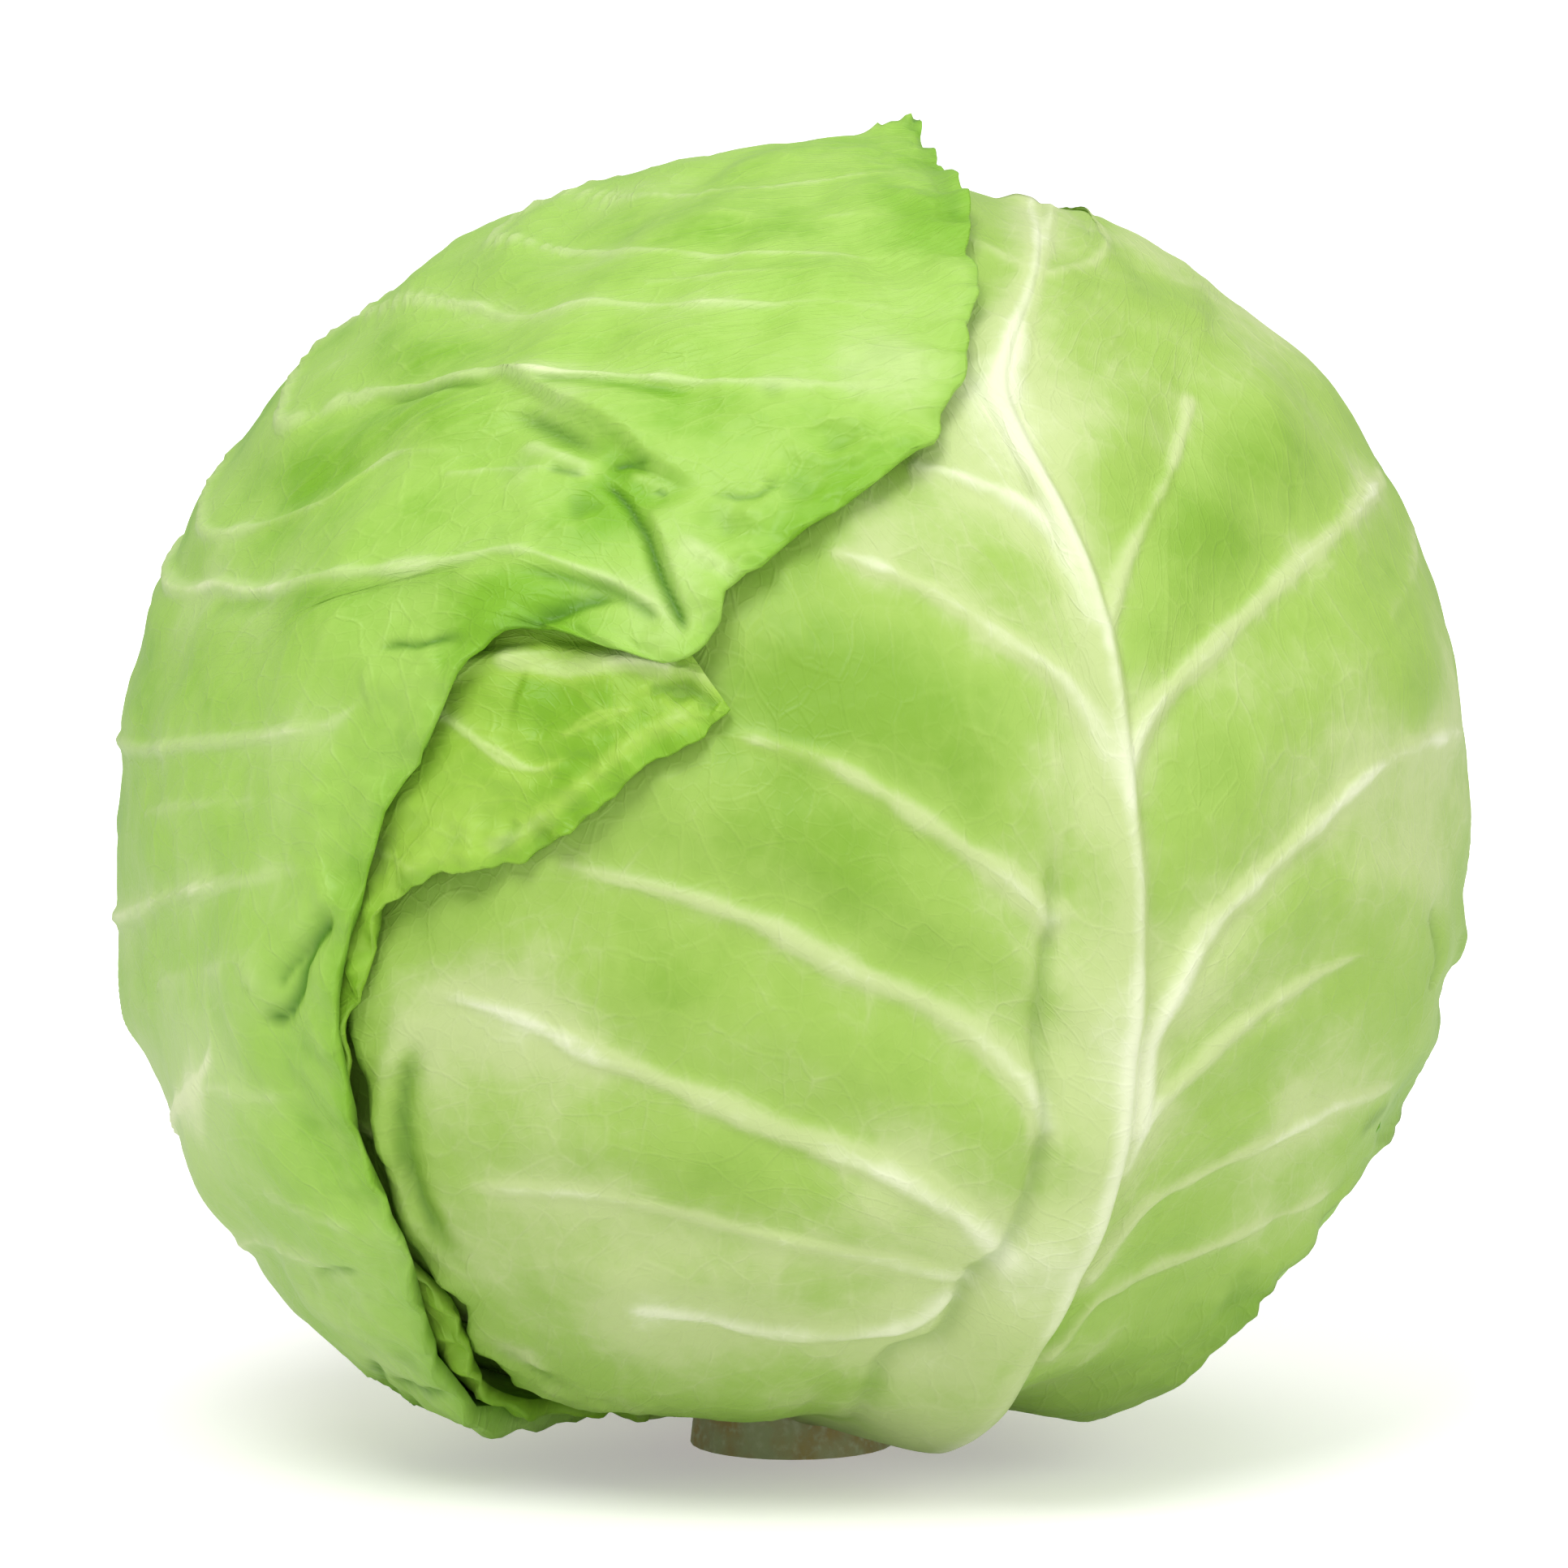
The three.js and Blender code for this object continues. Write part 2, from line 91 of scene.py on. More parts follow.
def heartReach(direction):  # centre to the heart's smooth skin
    z = direction[..., 2]
    below = z < 0
    power = np.where(below, headForm["lowerPower"], 2.0)
    across = np.hypot(direction[..., 0], direction[..., 1]) / headForm["side"]
    upright = np.abs(z) / np.where(below, headForm["bottom"], headForm["top"])
    reach = (across**power + upright**power) ** (-1 / power)
    depression = np.degrees(np.arcsin(np.clip(-z, -1, 1)))
    dimple = smooth(depression, headForm["dimpleFrom"], headForm["dimpleTo"])
    reach = reach - headForm["dimpleDepth"] * dimple
    for azimuth, latitude, width, height in swells:
        away = np.degrees(np.arccos(np.clip(direction @ far(azimuth, latitude), -1, 1))) / width
        reach = reach + height * np.exp(-away * away)
    return reach


def sightLines():
    tilt = math.radians(picture["tilt"])
    up = np.array([0, math.sin(tilt), math.cos(tilt)])
    sight = np.array([0, math.cos(tilt), -math.sin(tilt)])
    return up, sight


def near(column, line):  # the place on the head that shows at a pixel
    up, sight = sightLines()
    target = up * (picture["middle"][1] - line) / picture["pixelsPerMm"]
    target = target + np.array([(column - picture["middle"][0]) / picture["pixelsPerMm"], 0, 0])
    ray = target + sight * picture["distance"]
    ray = ray / norm(ray)
    inner = -target @ ray
    outer = inner - 2 * headForm["side"]

    def outside(along):
        point = target + ray * along
        length = norm(point)
        return length > heartReach(point / length) + picture["shownAboveHeart"]

    if not outside(inner):
        for _ in range(30):
            middle = (inner + outer) / 2
            if outside(middle):
                outer = middle
            else:
                inner = middle
    point = target + ray * inner
    return point / norm(point)


def addObject(name, data):
    added = bpy.data.objects.new(name, data)
    bpy.context.scene.collection.objects.link(added)
    return added


def makeCamera():
    _, sight = sightLines()
    data = bpy.data.cameras.new("camera")
    data.sensor_width = 36
    widthAtHead = picture["size"] / picture["pixelsPerMm"]
    data.lens = data.sensor_width * picture["distance"] / widthAtHead
    data.shift_x = (picture["size"] / 2 - picture["middle"][0]) / picture["size"]
    data.shift_y = (picture["middle"][1] - picture["size"] / 2) / picture["size"]
    camera = addObject("camera", data)
    camera.location = (headForm["centre"] - sight * picture["distance"]) * metresPerMm
    camera.rotation_euler = (math.radians(90 - picture["tilt"]), 0, 0)
    bpy.context.scene.camera = camera


makeCamera()
print("camera placed")


# curves and noise
def splineThrough(points, places):
    # points (n, k, 3), places (n, m) from 0 to k - 1: centripetal curves, one for each of the n lines
    first = 2 * points[:, :1] - points[:, 1:2]
    last = 2 * points[:, -1:] - points[:, -2:-1]
    padded = np.concatenate([first, points, last], axis=1)
    start = np.clip(np.floor(places).astype(int), 0, points.shape[1] - 2)
    t = (places - start)[..., None]
    line = np.arange(len(points))[:, None]
    p0, p1, p2, p3 = (padded[line, start + k] for k in range(4))
    d0, d1, d2 = (np.maximum(norm(b - a, axis=-1, keepdims=True), 1e-8) ** 0.5
                  for a, b in ((p0, p1), (p1, p2), (p2, p3)))
    m1 = ((p1 - p0) / d0 - (p2 - p0) / (d0 + d1) + (p2 - p1) / d1) * d1
    m2 = ((p2 - p1) / d1 - (p3 - p1) / (d1 + d2) + (p3 - p2) / d2) * d1
    return p1 + m1 * t + (3 * (p2 - p1) - 2 * m1 - m2) * t**2 + (2 * (p1 - p2) + m1 + m2) * t**3


def latticeValue(x, y, z, seed):
    h = (x * 374761393 + y * 668265263 + z * 1442695041 + seed * 362437) & 0xFFFFFFFF
    h = ((h ^ (h >> 13)) * 1274126177) & 0xFFFFFFFF
    return ((h ^ (h >> 16)) & 0xFFFF) / 65535.0


def noise(points, seed=0):  # smooth values from -1 to 1, one feature a unit
    cell = np.floor(points).astype(np.int64)
    f = points - cell
    f = f * f * f * (f * (f * 6 - 15) + 10)
    total = 0
    for dx in (0, 1):
        for dy in (0, 1):
            for dz in (0, 1):
                share = np.abs(1 - dx - f[..., 0]) * np.abs(1 - dy - f[..., 1]) * np.abs(1 - dz - f[..., 2])
                corner = (cell[..., 0] + dx, cell[..., 1] + dy, cell[..., 2] + dz)
                total = total + share * latticeValue(*corner, seed)
    return 2 * total - 1


def turbulence(points, seed):  # three octaves
    return sum(noise(points * 2**k, seed + k) / 2**k for k in range(3))


def blurRows(values, steps):  # softens a grid along its first axis
    reach = int(3 * steps) + 1
    offsets = np.arange(-reach, reach + 1)
    weights = np.exp(-0.5 * (offsets / steps) ** 2)
    weights /= weights.sum()
    padded = np.pad(values, ((reach, reach), (0, 0)), mode="reflect", reflect_type="odd")
    return sum(w * padded[reach + o: reach + o + len(values)] for w, o in zip(weights, offsets))


def blur(values, rowSteps, columnSteps):
    return blurRows(blurRows(values, rowSteps).T, columnSteps).T


def lowestAround(values, reach):
    low = values
    for axis in (0, 1):
        padding = [(reach, reach) if axis == k else (0, 0) for k in (0, 1)]
        padded = np.pad(low, padding, mode="edge")
        shifted = [np.take(padded, range(k, k + values.shape[axis]), axis=axis) for k in range(2 * reach + 1)]
        low = np.minimum.reduce(shifted)
    return low


def strokeField(directions, path):
    # for each place: mm from a line over the head, which side of it, and how far along it, 0 to 1
    line = splineThrough(np.array(path)[None], np.linspace(0, len(path) - 1, 4 * len(path))[None])[0]
    line = line / norm(line, axis=1, keepdims=True)
    flat = directions.reshape(-1, 3)
    nearest = np.full(len(flat), 1e9)
    side = np.zeros(len(flat))
    along = np.zeros(len(flat))
    for k, (a, b) in enumerate(zip(line[:-1], line[1:])):
        t = np.clip((flat - a) @ (b - a) / ((b - a) @ (b - a)), 0, 1)
        away = norm(flat - (a + t[:, None] * (b - a)), axis=1) * headForm["side"]
        closer = away < nearest
        nearest[closer] = away[closer]
        side[closer] = np.sign(flat @ np.cross(a, b))[closer]
        along[closer] = ((k + t) / (len(line) - 1))[closer]
    shape = directions.shape[:2]
    return nearest.reshape(shape), side.reshape(shape), along.reshape(shape)


# laying a fine blade over its CAD node
def stations(count, fractions):
    return np.array([k + f for k in range(count - 1) for f in fractions] + [count - 1.0])


def gridDirections(net, rows, columns):  # columns may differ from row to row
    lines = splineThrough(net.transpose(1, 0, 2), np.tile(rows, (net.shape[1], 1))).transpose(1, 0, 2)
    grid = splineThrough(lines, columns)
    return grid / norm(grid, axis=-1, keepdims=True)


def cadHeights(leaf, net, rows, columns):
    # reach of the CAD blade's inner face, looked up at the CAD's own mesh lines and made smooth between them
    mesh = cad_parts[leaf["node"]].data
    flat = np.empty(len(mesh.vertices) * 3)
    mesh.vertices.foreach_get("co", flat)
    points = np.unique(flat.reshape(-1, 3).round(7), axis=0) / metresPerMm - headForm["centre"]
    reach = norm(points, axis=1)
    away = points / reach[:, None]
    coarseRows = stations(len(net), leaf["cadRows"])
    coarseColumns = np.linspace(0, net.shape[1] - 1, (net.shape[1] - 1) * leaf["cadColumns"] + 1)
    grid = gridDirections(net, coarseRows, np.tile(coarseColumns, (len(coarseRows), 1)))
    apart = np.sqrt(np.maximum(2 - 2 * grid.reshape(-1, 3) @ away.T, 0)) * headForm["side"]
    found = reach[np.argmin(10 * apart + 0.5 * reach, axis=1)].reshape(grid.shape[:2])
    byRow = np.array([np.interp(rows, coarseRows, found[:, j]) for j in range(found.shape[1])]).T
    return np.array([np.interp(columns[i], coarseColumns, byRow[i]) for i in range(len(rows))])


def bar(distance, half):  # a rounded ridge, 1 at its middle
    return 1 - smooth(distance / half, 0.0, 1.3)


blade = {  # shared by every leaf, lengths in millimetres
    "underStep": 3,  # the inner face has one cell for this many of the outer face
    "quickShare": 0.6,
    "restBlur": 2.2,  # in cells
    "ribHalfTip": 2.2, "branchHeight": 0.2, "swellSize": 13, "toneSize": 15, "puckerSize": np.array([7, 7, 4.5]),
    "puckerReach": 20, "freshReach": 9, "ruffleReach": 6.5, "frillReach": 5, "edgeReach": 2.2,  # from the margin
    "lowest": 0.6,  # no blade goes under this
}


def patchAt(directions, spot, width):  # 1 at a place on the head, fading over a width in mm
    away = norm(directions - spot, axis=-1) * headForm["side"]
    return np.exp(-((away / width) ** 2))


def layLeaf(leaf):
    net = np.array(leaf["net"])
    lastRow, lastColumn = len(net) - 1, net.shape[1] - 1
    seed, rib, mmPerUnit = leaf["seed"], leaf["rib"], headForm["side"]
    share = 1.0
    rowCount, columnCount = (blade["underStep"] * int(n * share) + 1 for n in leaf["cells"])
    rowFocus = leaf.get("rowFocus", ((0, 1), (0, lastRow)))
    columnFocus = leaf.get("columnFocus", ((0, 1), (0, lastColumn)))
    u = np.interp(np.linspace(0, 1, rowCount), *rowFocus)  # closer where it is folded
    across = np.interp(np.linspace(0, 1, columnCount), *columnFocus)
    v = np.tile(across, (rowCount, 1))
    ribColumn = int(np.argmin(np.abs(across - rib)))
    onRight = v >= rib
    out = np.abs(v - rib) / np.where(onRight, lastColumn - rib, rib)  # 0 at the rib, 1 at the margin

    # the margin's line draws back between its scallops
    plain = gridDirections(net, u, v)
    step = norm(np.diff(plain, axis=0), axis=2) * mmPerUnit
    marginRun = [np.concatenate([[0], np.cumsum(step[:, j])]) for j in (0, -1)]
    drawn = []
    for k, run in enumerate(marginRun):
        turns = [run / leaf["scallopLength"], np.full(rowCount, 7.3 + k), np.full(rowCount, seed)]
        scallops = 0.5 + 0.5 * turbulence(np.stack(turns, axis=1), seed + 40)
        pulled = leaf["scallopDepth"] * np.clip(scallops, 0, 1.3)
        for spot, width, push in leaf["lobes"]:
            pulled = pulled - push * patchAt(plain[:, -k], spot, width)
        drawn.append(pulled)
    rowWidth = norm(np.diff(plain, axis=1), axis=2) * mmPerUnit
    leftWidth, rightWidth = rowWidth[:, :ribColumn].sum(1), rowWidth[:, ribColumn:].sum(1)
    halfWidth = np.where(onRight, rightWidth[:, None], leftWidth[:, None])
    pull = np.where(onRight, drawn[1][:, None], drawn[0][:, None]) / np.maximum(halfWidth, 8)
    vPulled = rib + (v - rib) * (1 - pull * smooth(out, 0.6, 1.0))
    d = gridDirections(net, u, vPulled)
    uGrid = np.tile(u[:, None], (1, columnCount))

    # lengths over the blade
    alongRow = norm(np.diff(d, axis=1), axis=2) * mmPerUnit
    run = np.concatenate([np.zeros((rowCount, 1)), np.cumsum(alongRow, axis=1)], axis=1)
    ribAway = run - run[:, ribColumn:ribColumn + 1]
    ribFar = np.abs(ribAway)
    toMargin = np.where(onRight, run[:, -1:] - run, run)
    du = np.gradient(d, u, axis=0) * mmPerUnit
    dv = np.gradient(d, axis=1) * mmPerUnit
    rowGap = norm(np.cross(du, dv), axis=2) / np.maximum(norm(dv, axis=2), 1e-6)
    fromBase = uGrid / lastRow
    place = d * mmPerUnit

    def fromMargin(reach):  # 1 at the margin, 0 this far from it
        return smooth(reach - toMargin, 0, reach)

    # rest height from the CAD
    rest = cadHeights(leaf, net, u, v)
    rest = blur(rest, blade["restBlur"] * share, blade["restBlur"] * share)
    offEnds = smooth(fromBase, 0.0, 0.05) * smooth(1 - fromBase, 0.0, 0.04)

    # rib, and the side veins that follow the net's rows
    ribHeight = leaf["ribHeight"] * (1 - fromBase) ** 0.9 + leaf["ribTip"]
    ribHalf = leaf["ribHalf"] + (blade["ribHalfTip"] - leaf["ribHalf"]) * fromBase**0.7
    ribHalf = ribHalf * np.where(onRight, 1 / leaf["ribSkew"], leaf["ribSkew"])
    uVein = uGrid - leaf["veinRise"] * out**1.3 * smooth(fromBase, 0.0, 0.3)  # veins climb to the margin
    nearestRow = np.clip(np.round(uVein), 0, lastRow).astype(int)
    wobble = 0.09 * noise(place / 16, seed + 5) * smooth(out, 0, 0.3)
    wobble = wobble + 0.12 * noise(np.stack([nearestRow, onRight, 0 * out], axis=2) * 3.7 + 0.5) * out
    veinAway = np.abs(uVein + wobble - nearestRow) * rowGap
    leftVeins, rightVeins = (np.array(strengths)[nearestRow] for strengths in leaf["rowVeins"])
    strength = np.where(onRight, rightVeins, leftVeins)
    veinHalf = leaf["veinHalf"] * (1.15 - 0.7 * out)
    ridge = strength * (leaf["veinHeight"] * (1.1 - 0.8 * out)) * bar(veinAway, veinHalf)
    core = strength * bar(veinAway, 0.8 * veinHalf) * (1 - 0.4 * out)
    halo = strength * np.exp(-veinAway / (2.2 * veinHalf)) * (1 - 0.4 * out)
    for path, half, lift, tone in leaf["veins"]:  # side veins drawn one by one
        away, _, along = strokeField(d, path)
        away = np.abs(away + 0.5 * noise(place / 5, seed + 6) * smooth(along, 0.1, 0.3))
        width = half * (1.1 - 0.6 * along)
        fade = smooth(1 - along, 0.0, leaf["veinFade"])
        ridge = np.maximum(ridge, lift * (1.1 - 0.6 * along) * fade * bar(away, width))
        core = np.maximum(core, tone * fade * bar(away, width))
        halo = np.maximum(halo, tone * fade * np.exp(-away / (leaf["veinGlow"] * width)))

    # branches run outwards from one side vein to the next
    between = uGrid - np.floor(uGrid)
    phase = ribFar / leaf["branchGap"] - 1.35 * between * np.where(np.floor(uGrid) % 2 > 0, 1, 0.75)
    phase = phase + 0.45 * noise(place / 11, seed + 9) + 0.37 * np.floor(uGrid)
    branchAway = np.abs(phase - np.round(phase)) * leaf["branchGap"]
    branch = bar(branchAway, 1.0) * smooth(ribFar, 5, 12) * (1 - 0.5 * out)
    branch = branch * (0.55 + 0.45 * noise(place / 9, seed + 12)) * smooth(between * (1 - between), 0.0, 0.08)

    # blade swells between veins, puckers near its margin, waves at it
    swell = leaf["swell"] * turbulence(place / blade["swellSize"], seed + 20) * smooth(ribFar, 3, 12)
    pucker = leaf["pucker"] * np.abs(turbulence(place / blade["puckerSize"], seed + 30))
    pucker = pucker * fromMargin(blade["puckerReach"])
    edgeRun = np.where(onRight, marginRun[1][:, None], marginRun[0][:, None])
    edgeWave = np.sin(2 * math.pi * edgeRun / leaf["ruffleLength"] + 2.4 * noise(place / 20, seed + 33))
    ruffle = leaf["ruffle"] * (0.5 + 0.5 * edgeWave) * fromMargin(blade["ruffleReach"]) * offEnds

    height = rest + leaf["thickness"] + np.maximum(ribHeight * bar(ribFar, ribHalf), ridge)
    height = height + blade["branchHeight"] * branch + (swell + pucker) * offEnds + ruffle
    # shade painted into folds, pockets and hollows, which the skin mixes toward its fold-shade colour
    paintedShade = np.zeros_like(height)
    pale = leaf["pale"] + 0.0 * height
    for path, left, right, lift, shadePaint, tone, taper in leaf["strokes"]:
        away, side, along = strokeField(d, trail(*path))
        profile = np.exp(-((away / np.where(side > 0, left, right)) ** 2))
        profile = profile * smooth(along * (1 - along), 0.0, taper)
        height = height + lift * profile
        # shade painted along the fold that the stroke makes
        paintedShade = np.maximum(paintedShade, shadePaint * profile**2)
        # where a sunk stroke also has negative paleness, that too is painted shade
        pale = pale + tone * profile
    for spot, width, tone in leaf["zones"]:
        pale = pale + tone * patchAt(d, spot, width)
    for spot, width, lift in leaf["bulges"]:
        height = height + lift * patchAt(d, spot, width)
    for spot, width, lift, waveLength in leaf["crinkles"]:  # crumpled patches, with shade painted into their hollows
        patch = patchAt(d, spot, width)
        waves = 1 - 2 * np.abs(noise(place / waveLength, seed + 61))
        waves = waves + 0.5 * noise(place * 2.3 / waveLength, seed + 62)
        height = height + lift * patch * waves
        paintedShade = np.maximum(paintedShade, 0.5 * patch * smooth(-waves, 0.0, 1.0))
    for spot, width, lift, waveLength in leaf["frills"]:  # the margin gathered into small folds, with shade painted between them
        patch = patchAt(d, spot, width) * fromMargin(blade["frillReach"])
        folds = np.cos(2 * math.pi * edgeRun / waveLength + 1.5 * noise(place / 6, seed + 63))
        height = height + lift * patch * (0.6 + 0.4 * folds)
        paintedShade = np.maximum(paintedShade, 0.8 * patch * smooth(-folds, 0.1, 1.0))

    # paleness, which the skin turns into colour
    flank = bar(ribFar, 1.1 * ribHalf) * (1 - 0.35 * fromBase)
    # a highlight painted along the rib's crest
    paintedCrestLine = np.exp(-((ribAway / (1.6 - 0.6 * fromBase)) ** 2))
    ribHalo = np.exp(-np.maximum(ribFar - ribHalf, 0) / leaf["ribHalo"])
    pale = pale + leaf["ribPale"] * flank + leaf["crestHighlightPaint"] * paintedCrestLine + 0.16 * ribHalo
    pale = pale + (0.38 * core + 0.42 * halo) * (1 - 0.6 * flank) + 0.12 * branch
    pale = pale + 0.2 * turbulence(place / blade["toneSize"], seed + 50)
    pale = pale + leaf["basePale"] * (1 - smooth(fromBase, 0.02, 0.25))
    pale = pale - leaf["edgeFresh"] * fromMargin(blade["freshReach"])
    edge = fromMargin(blade["edgeReach"])
    growth = np.stack([ribAway, uGrid * np.mean(rowGap)], axis=2) / 10  # one unit a centimetre
    return d, rest, height, growth, {"pale": pale, "paintedShade": paintedShade, "edge": edge}


def gridPlaces(vertices, rows, columns):  # which row and column of the lattice each new vertex is
    lattice = np.array([v.co[:2] for v in vertices])
    i = np.rint((lattice[:, 1] + 1) / 2 * (rows - 1)).astype(int)
    j = np.rint((lattice[:, 0] + 1) / 2 * (columns - 1)).astype(int)
    return i, j


def bladeObject(leaf):
    d, rest, height, growth, masks = layLeaf(leaf)
    rows, columns = height.shape
    step = blade["underStep"]
    under = lowestAround(np.minimum(rest, height - leaf["thickness"]), step)
    rim = np.zeros((rows, columns), bool)
    rim[[0, -1], :] = rim[:, [0, -1]] = True
    under = np.where(rim, height - leaf["thickness"], under)
    outer, inner = (headForm["centre"] + d * level[..., None] for level in (height, under))

    bm = bmesh.new()
    rowsOf, columnsOf = [], []
    for side, stride in ((outer, 1), (inner, step)):
        side[..., 2] = np.maximum(side[..., 2], blade["lowest"])
        cells = (columns - 1) // stride, (rows - 1) // stride
        before = len(bm.verts)
        bmesh.ops.create_grid(bm, x_segments=cells[0], y_segments=cells[1], size=1)
        bm.verts.ensure_lookup_table()
        i, j = (stride * k for k in gridPlaces(bm.verts[before:], cells[1] + 1, cells[0] + 1))
        for v, point in zip(bm.verts[before:], side[i, j] * metresPerMm):
            v.co = point
        rowsOf.append(i)
        columnsOf.append(j)
    bmesh.ops.bridge_loops(bm, edges=[e for e in bm.edges if e.is_boundary])
    bmesh.ops.recalc_face_normals(bm, faces=bm.faces)
    for face in bm.faces:
        face.smooth = True
    mesh = bpy.data.meshes.new(leaf["name"])
    bm.to_mesh(mesh)
    bm.free()
    i, j = np.concatenate(rowsOf), np.concatenate(columnsOf)
    for name, values in masks.items():
        attribute = mesh.attributes.new(name, "FLOAT", "POINT")
        attribute.data.foreach_set("value", values[i, j].astype(np.float32))
    corners = np.empty(len(mesh.loops), np.int32)
    mesh.loops.foreach_get("vertex_index", corners)
    layer = mesh.uv_layers.new(name="growth")
    layer.data.foreach_set("uv", growth[i, j][corners].astype(np.float32).ravel())
    piece = addObject(leaf["name"], mesh)
    mesh.materials.append(leafMaterial(leaf))
    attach(piece, "root")
    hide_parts(leaf["node"])
    print(leaf["name"], "has", sum(len(p.vertices) - 2 for p in mesh.polygons), "triangles")


# finishes
def addNode(tree, kind, settings=None, links=None):
    node = tree.nodes.new(kind)
    for key, value in (settings or {}).items():
        if key in node.inputs:
            node.inputs[key].default_value = value
        else:
            setattr(node, key, value)
    for key, source in (links or {}).items():
        tree.links.new(source, node.inputs[key])
    return node


def mathNode(tree, operation, *values):
    node = tree.nodes.new("ShaderNodeMath")
    node.operation = operation
    for socket, value in zip(node.inputs, values):
        if isinstance(value, (int, float)):
            socket.default_value = value
        else:
            tree.links.new(value, socket)
    return node.outputs[0]


def mixColour(tree, factor, a, b):
    node = tree.nodes.new("ShaderNodeMix")
    node.data_type = "RGBA"
    for k, value in ((0, factor), (6, a), (7, b)):  # the sockets for colours
        if isinstance(value, (int, float, tuple)):
            node.inputs[k].default_value = value
        else:
            tree.links.new(value, node.inputs[k])
    return node.outputs[2]


def rampBetween(tree, value, low, high):
    node = tree.nodes.new("ShaderNodeMapRange")
    node.interpolation_type = "SMOOTHSTEP"
    tree.links.new(value, node.inputs["Value"])
    node.inputs["From Min"].default_value = low
    node.inputs["From Max"].default_value = high
    return node.outputs["Result"]


def objectPlaces(tree):
    return tree.nodes.new("ShaderNodeTexCoord").outputs["Object"]


def addNoise(tree, places, scale, detail, roughness=0.5):
    settings = {"Scale": scale, "Detail": detail, "Roughness": roughness}
    return addNode(tree, "ShaderNodeTexNoise", settings, {"Vector": places})


def addBump(tree, shader, height, strength, distance):
    bump = addNode(tree, "ShaderNodeBump", {"Strength": strength, "Distance": distance}, {"Height": height})
    tree.links.new(bump.outputs["Normal"], shader.inputs["Normal"])


tones = ("Deep", "Mid", "Pale", "White", "Fold Shade")  # as each leaf's colours
# the second mask is shade painted into folds, pockets and hollows
skinMasks = {"Pale Mask": "pale", "Painted Shade Mask": "paintedShade", "Edge Mask": "edge"}


def leafSkinGroup():
    group = bpy.data.node_groups.new("leafSkin", "ShaderNodeTree")
    inputs = {"Vector": ("Vector", "Growth"), "Color": tones, "Float": (*skinMasks, "Net Strength")}
    outputs = {"Color": ("Color",), "Float": ("Roughness", "Height")}
    for way, sockets in (("INPUT", inputs), ("OUTPUT", outputs)):
        for kind, labels in sockets.items():
            for label in labels:
                group.interface.new_socket(name=label, in_out=way, socket_type="NodeSocket" + kind)
    given = group.nodes.new("NodeGroupInput").outputs
    result = group.nodes.new("NodeGroupOutput").inputs

    def plus(a, b):
        return mathNode(group, "ADD", a, b)

    def times(a, b):
        return mathNode(group, "MULTIPLY", a, b)

    warp = addNoise(group, given["Vector"], 110.0, 1.0)
    warped = addNode(group, "ShaderNodeVectorMath", {"operation": "MULTIPLY_ADD"},
                     {0: warp.outputs["Color"], 2: given["Growth"]})
    warped.inputs[1].default_value = (0.45, 0.45, 0.0)
    patches = addNoise(group, given["Vector"], 55.0, 3.0, 0.6).outputs["Fac"]
    specks = addNoise(group, given["Vector"], 420.0, 2.0, 0.65).outputs["Fac"]
    nets = []
    for scale, width in ((1.7, 0.07), (5.2, 0.12)):  # cells a centimetre
        cells = addNode(group, "ShaderNodeTexVoronoi",
                        {"voronoi_dimensions": "2D", "feature": "DISTANCE_TO_EDGE", "Scale": scale},
                        {"Vector": warped.outputs[0]})
        line = rampBetween(group, cells.outputs["Distance"], 0.0, width)
        nets.append(mathNode(group, "SUBTRACT", 1.0, line))
    net = times(plus(times(nets[0], 0.65), times(nets[1], 0.35)), given["Net Strength"])
    wander = times(mathNode(group, "SUBTRACT", patches, 0.5), 0.55)
    grain = times(mathNode(group, "SUBTRACT", specks, 0.5), 0.22)
    level = plus(plus(given["Pale Mask"], plus(wander, grain)), times(net, 0.16))
    colour = mixColour(group, rampBetween(group, level, -0.1, 0.42), given["Deep"], given["Mid"])
    colour = mixColour(group, rampBetween(group, level, 0.35, 0.85), colour, given["Pale"])
    colour = mixColour(group, rampBetween(group, level, 0.85, 1.45), colour, given["White"])
    # painted shade: folds, pockets and hollows go toward the fold-shade colour
    colour = mixColour(group, given["Painted Shade Mask"], colour, given["Fold Shade"])
    colour = mixColour(group, times(given["Edge Mask"], 0.35), colour, given["Deep"])
    rough = plus(plus(0.36, times(patches, 0.16)), times(specks, 0.08))
    height = plus(plus(times(net, 0.8), times(specks, 0.5)), times(patches, 1.2))
    for label, value in (("Color", colour), ("Roughness", rough), ("Height", height)):
        group.links.new(value, result[label])
    return group


leafSkin = leafSkinGroup()


def leafMaterial(leaf):
    material, tree, shader = startMaterial(leaf["name"] + "Skin", 0.5)
    skin = tree.nodes.new("ShaderNodeGroup")
    skin.node_tree = leafSkin
    growth = addNode(tree, "ShaderNodeUVMap", {"uv_map": "growth"})
    tree.links.new(objectPlaces(tree), skin.inputs["Vector"])
    tree.links.new(growth.outputs["UV"], skin.inputs["Growth"])
    for label, colour in zip(tones, leaf["colours"]):
        skin.inputs[label].default_value = (*colour, 1)
    skin.inputs["Net Strength"].default_value = leaf["netStrength"]
    for label, name in skinMasks.items():
        attribute = addNode(tree, "ShaderNodeAttribute", {"attribute_name": name})
        tree.links.new(attribute.outputs["Fac"], skin.inputs[label])
    tree.links.new(skin.outputs["Color"], shader.inputs["Base Color"])
    tree.links.new(skin.outputs["Roughness"], shader.inputs["Roughness"])
    addBump(tree, shader, skin.outputs["Height"], 0.6, 0.00035)
    shader.inputs["IOR"].default_value = 1.42
    shader.inputs["Specular IOR Level"].default_value = 0.45
    return material


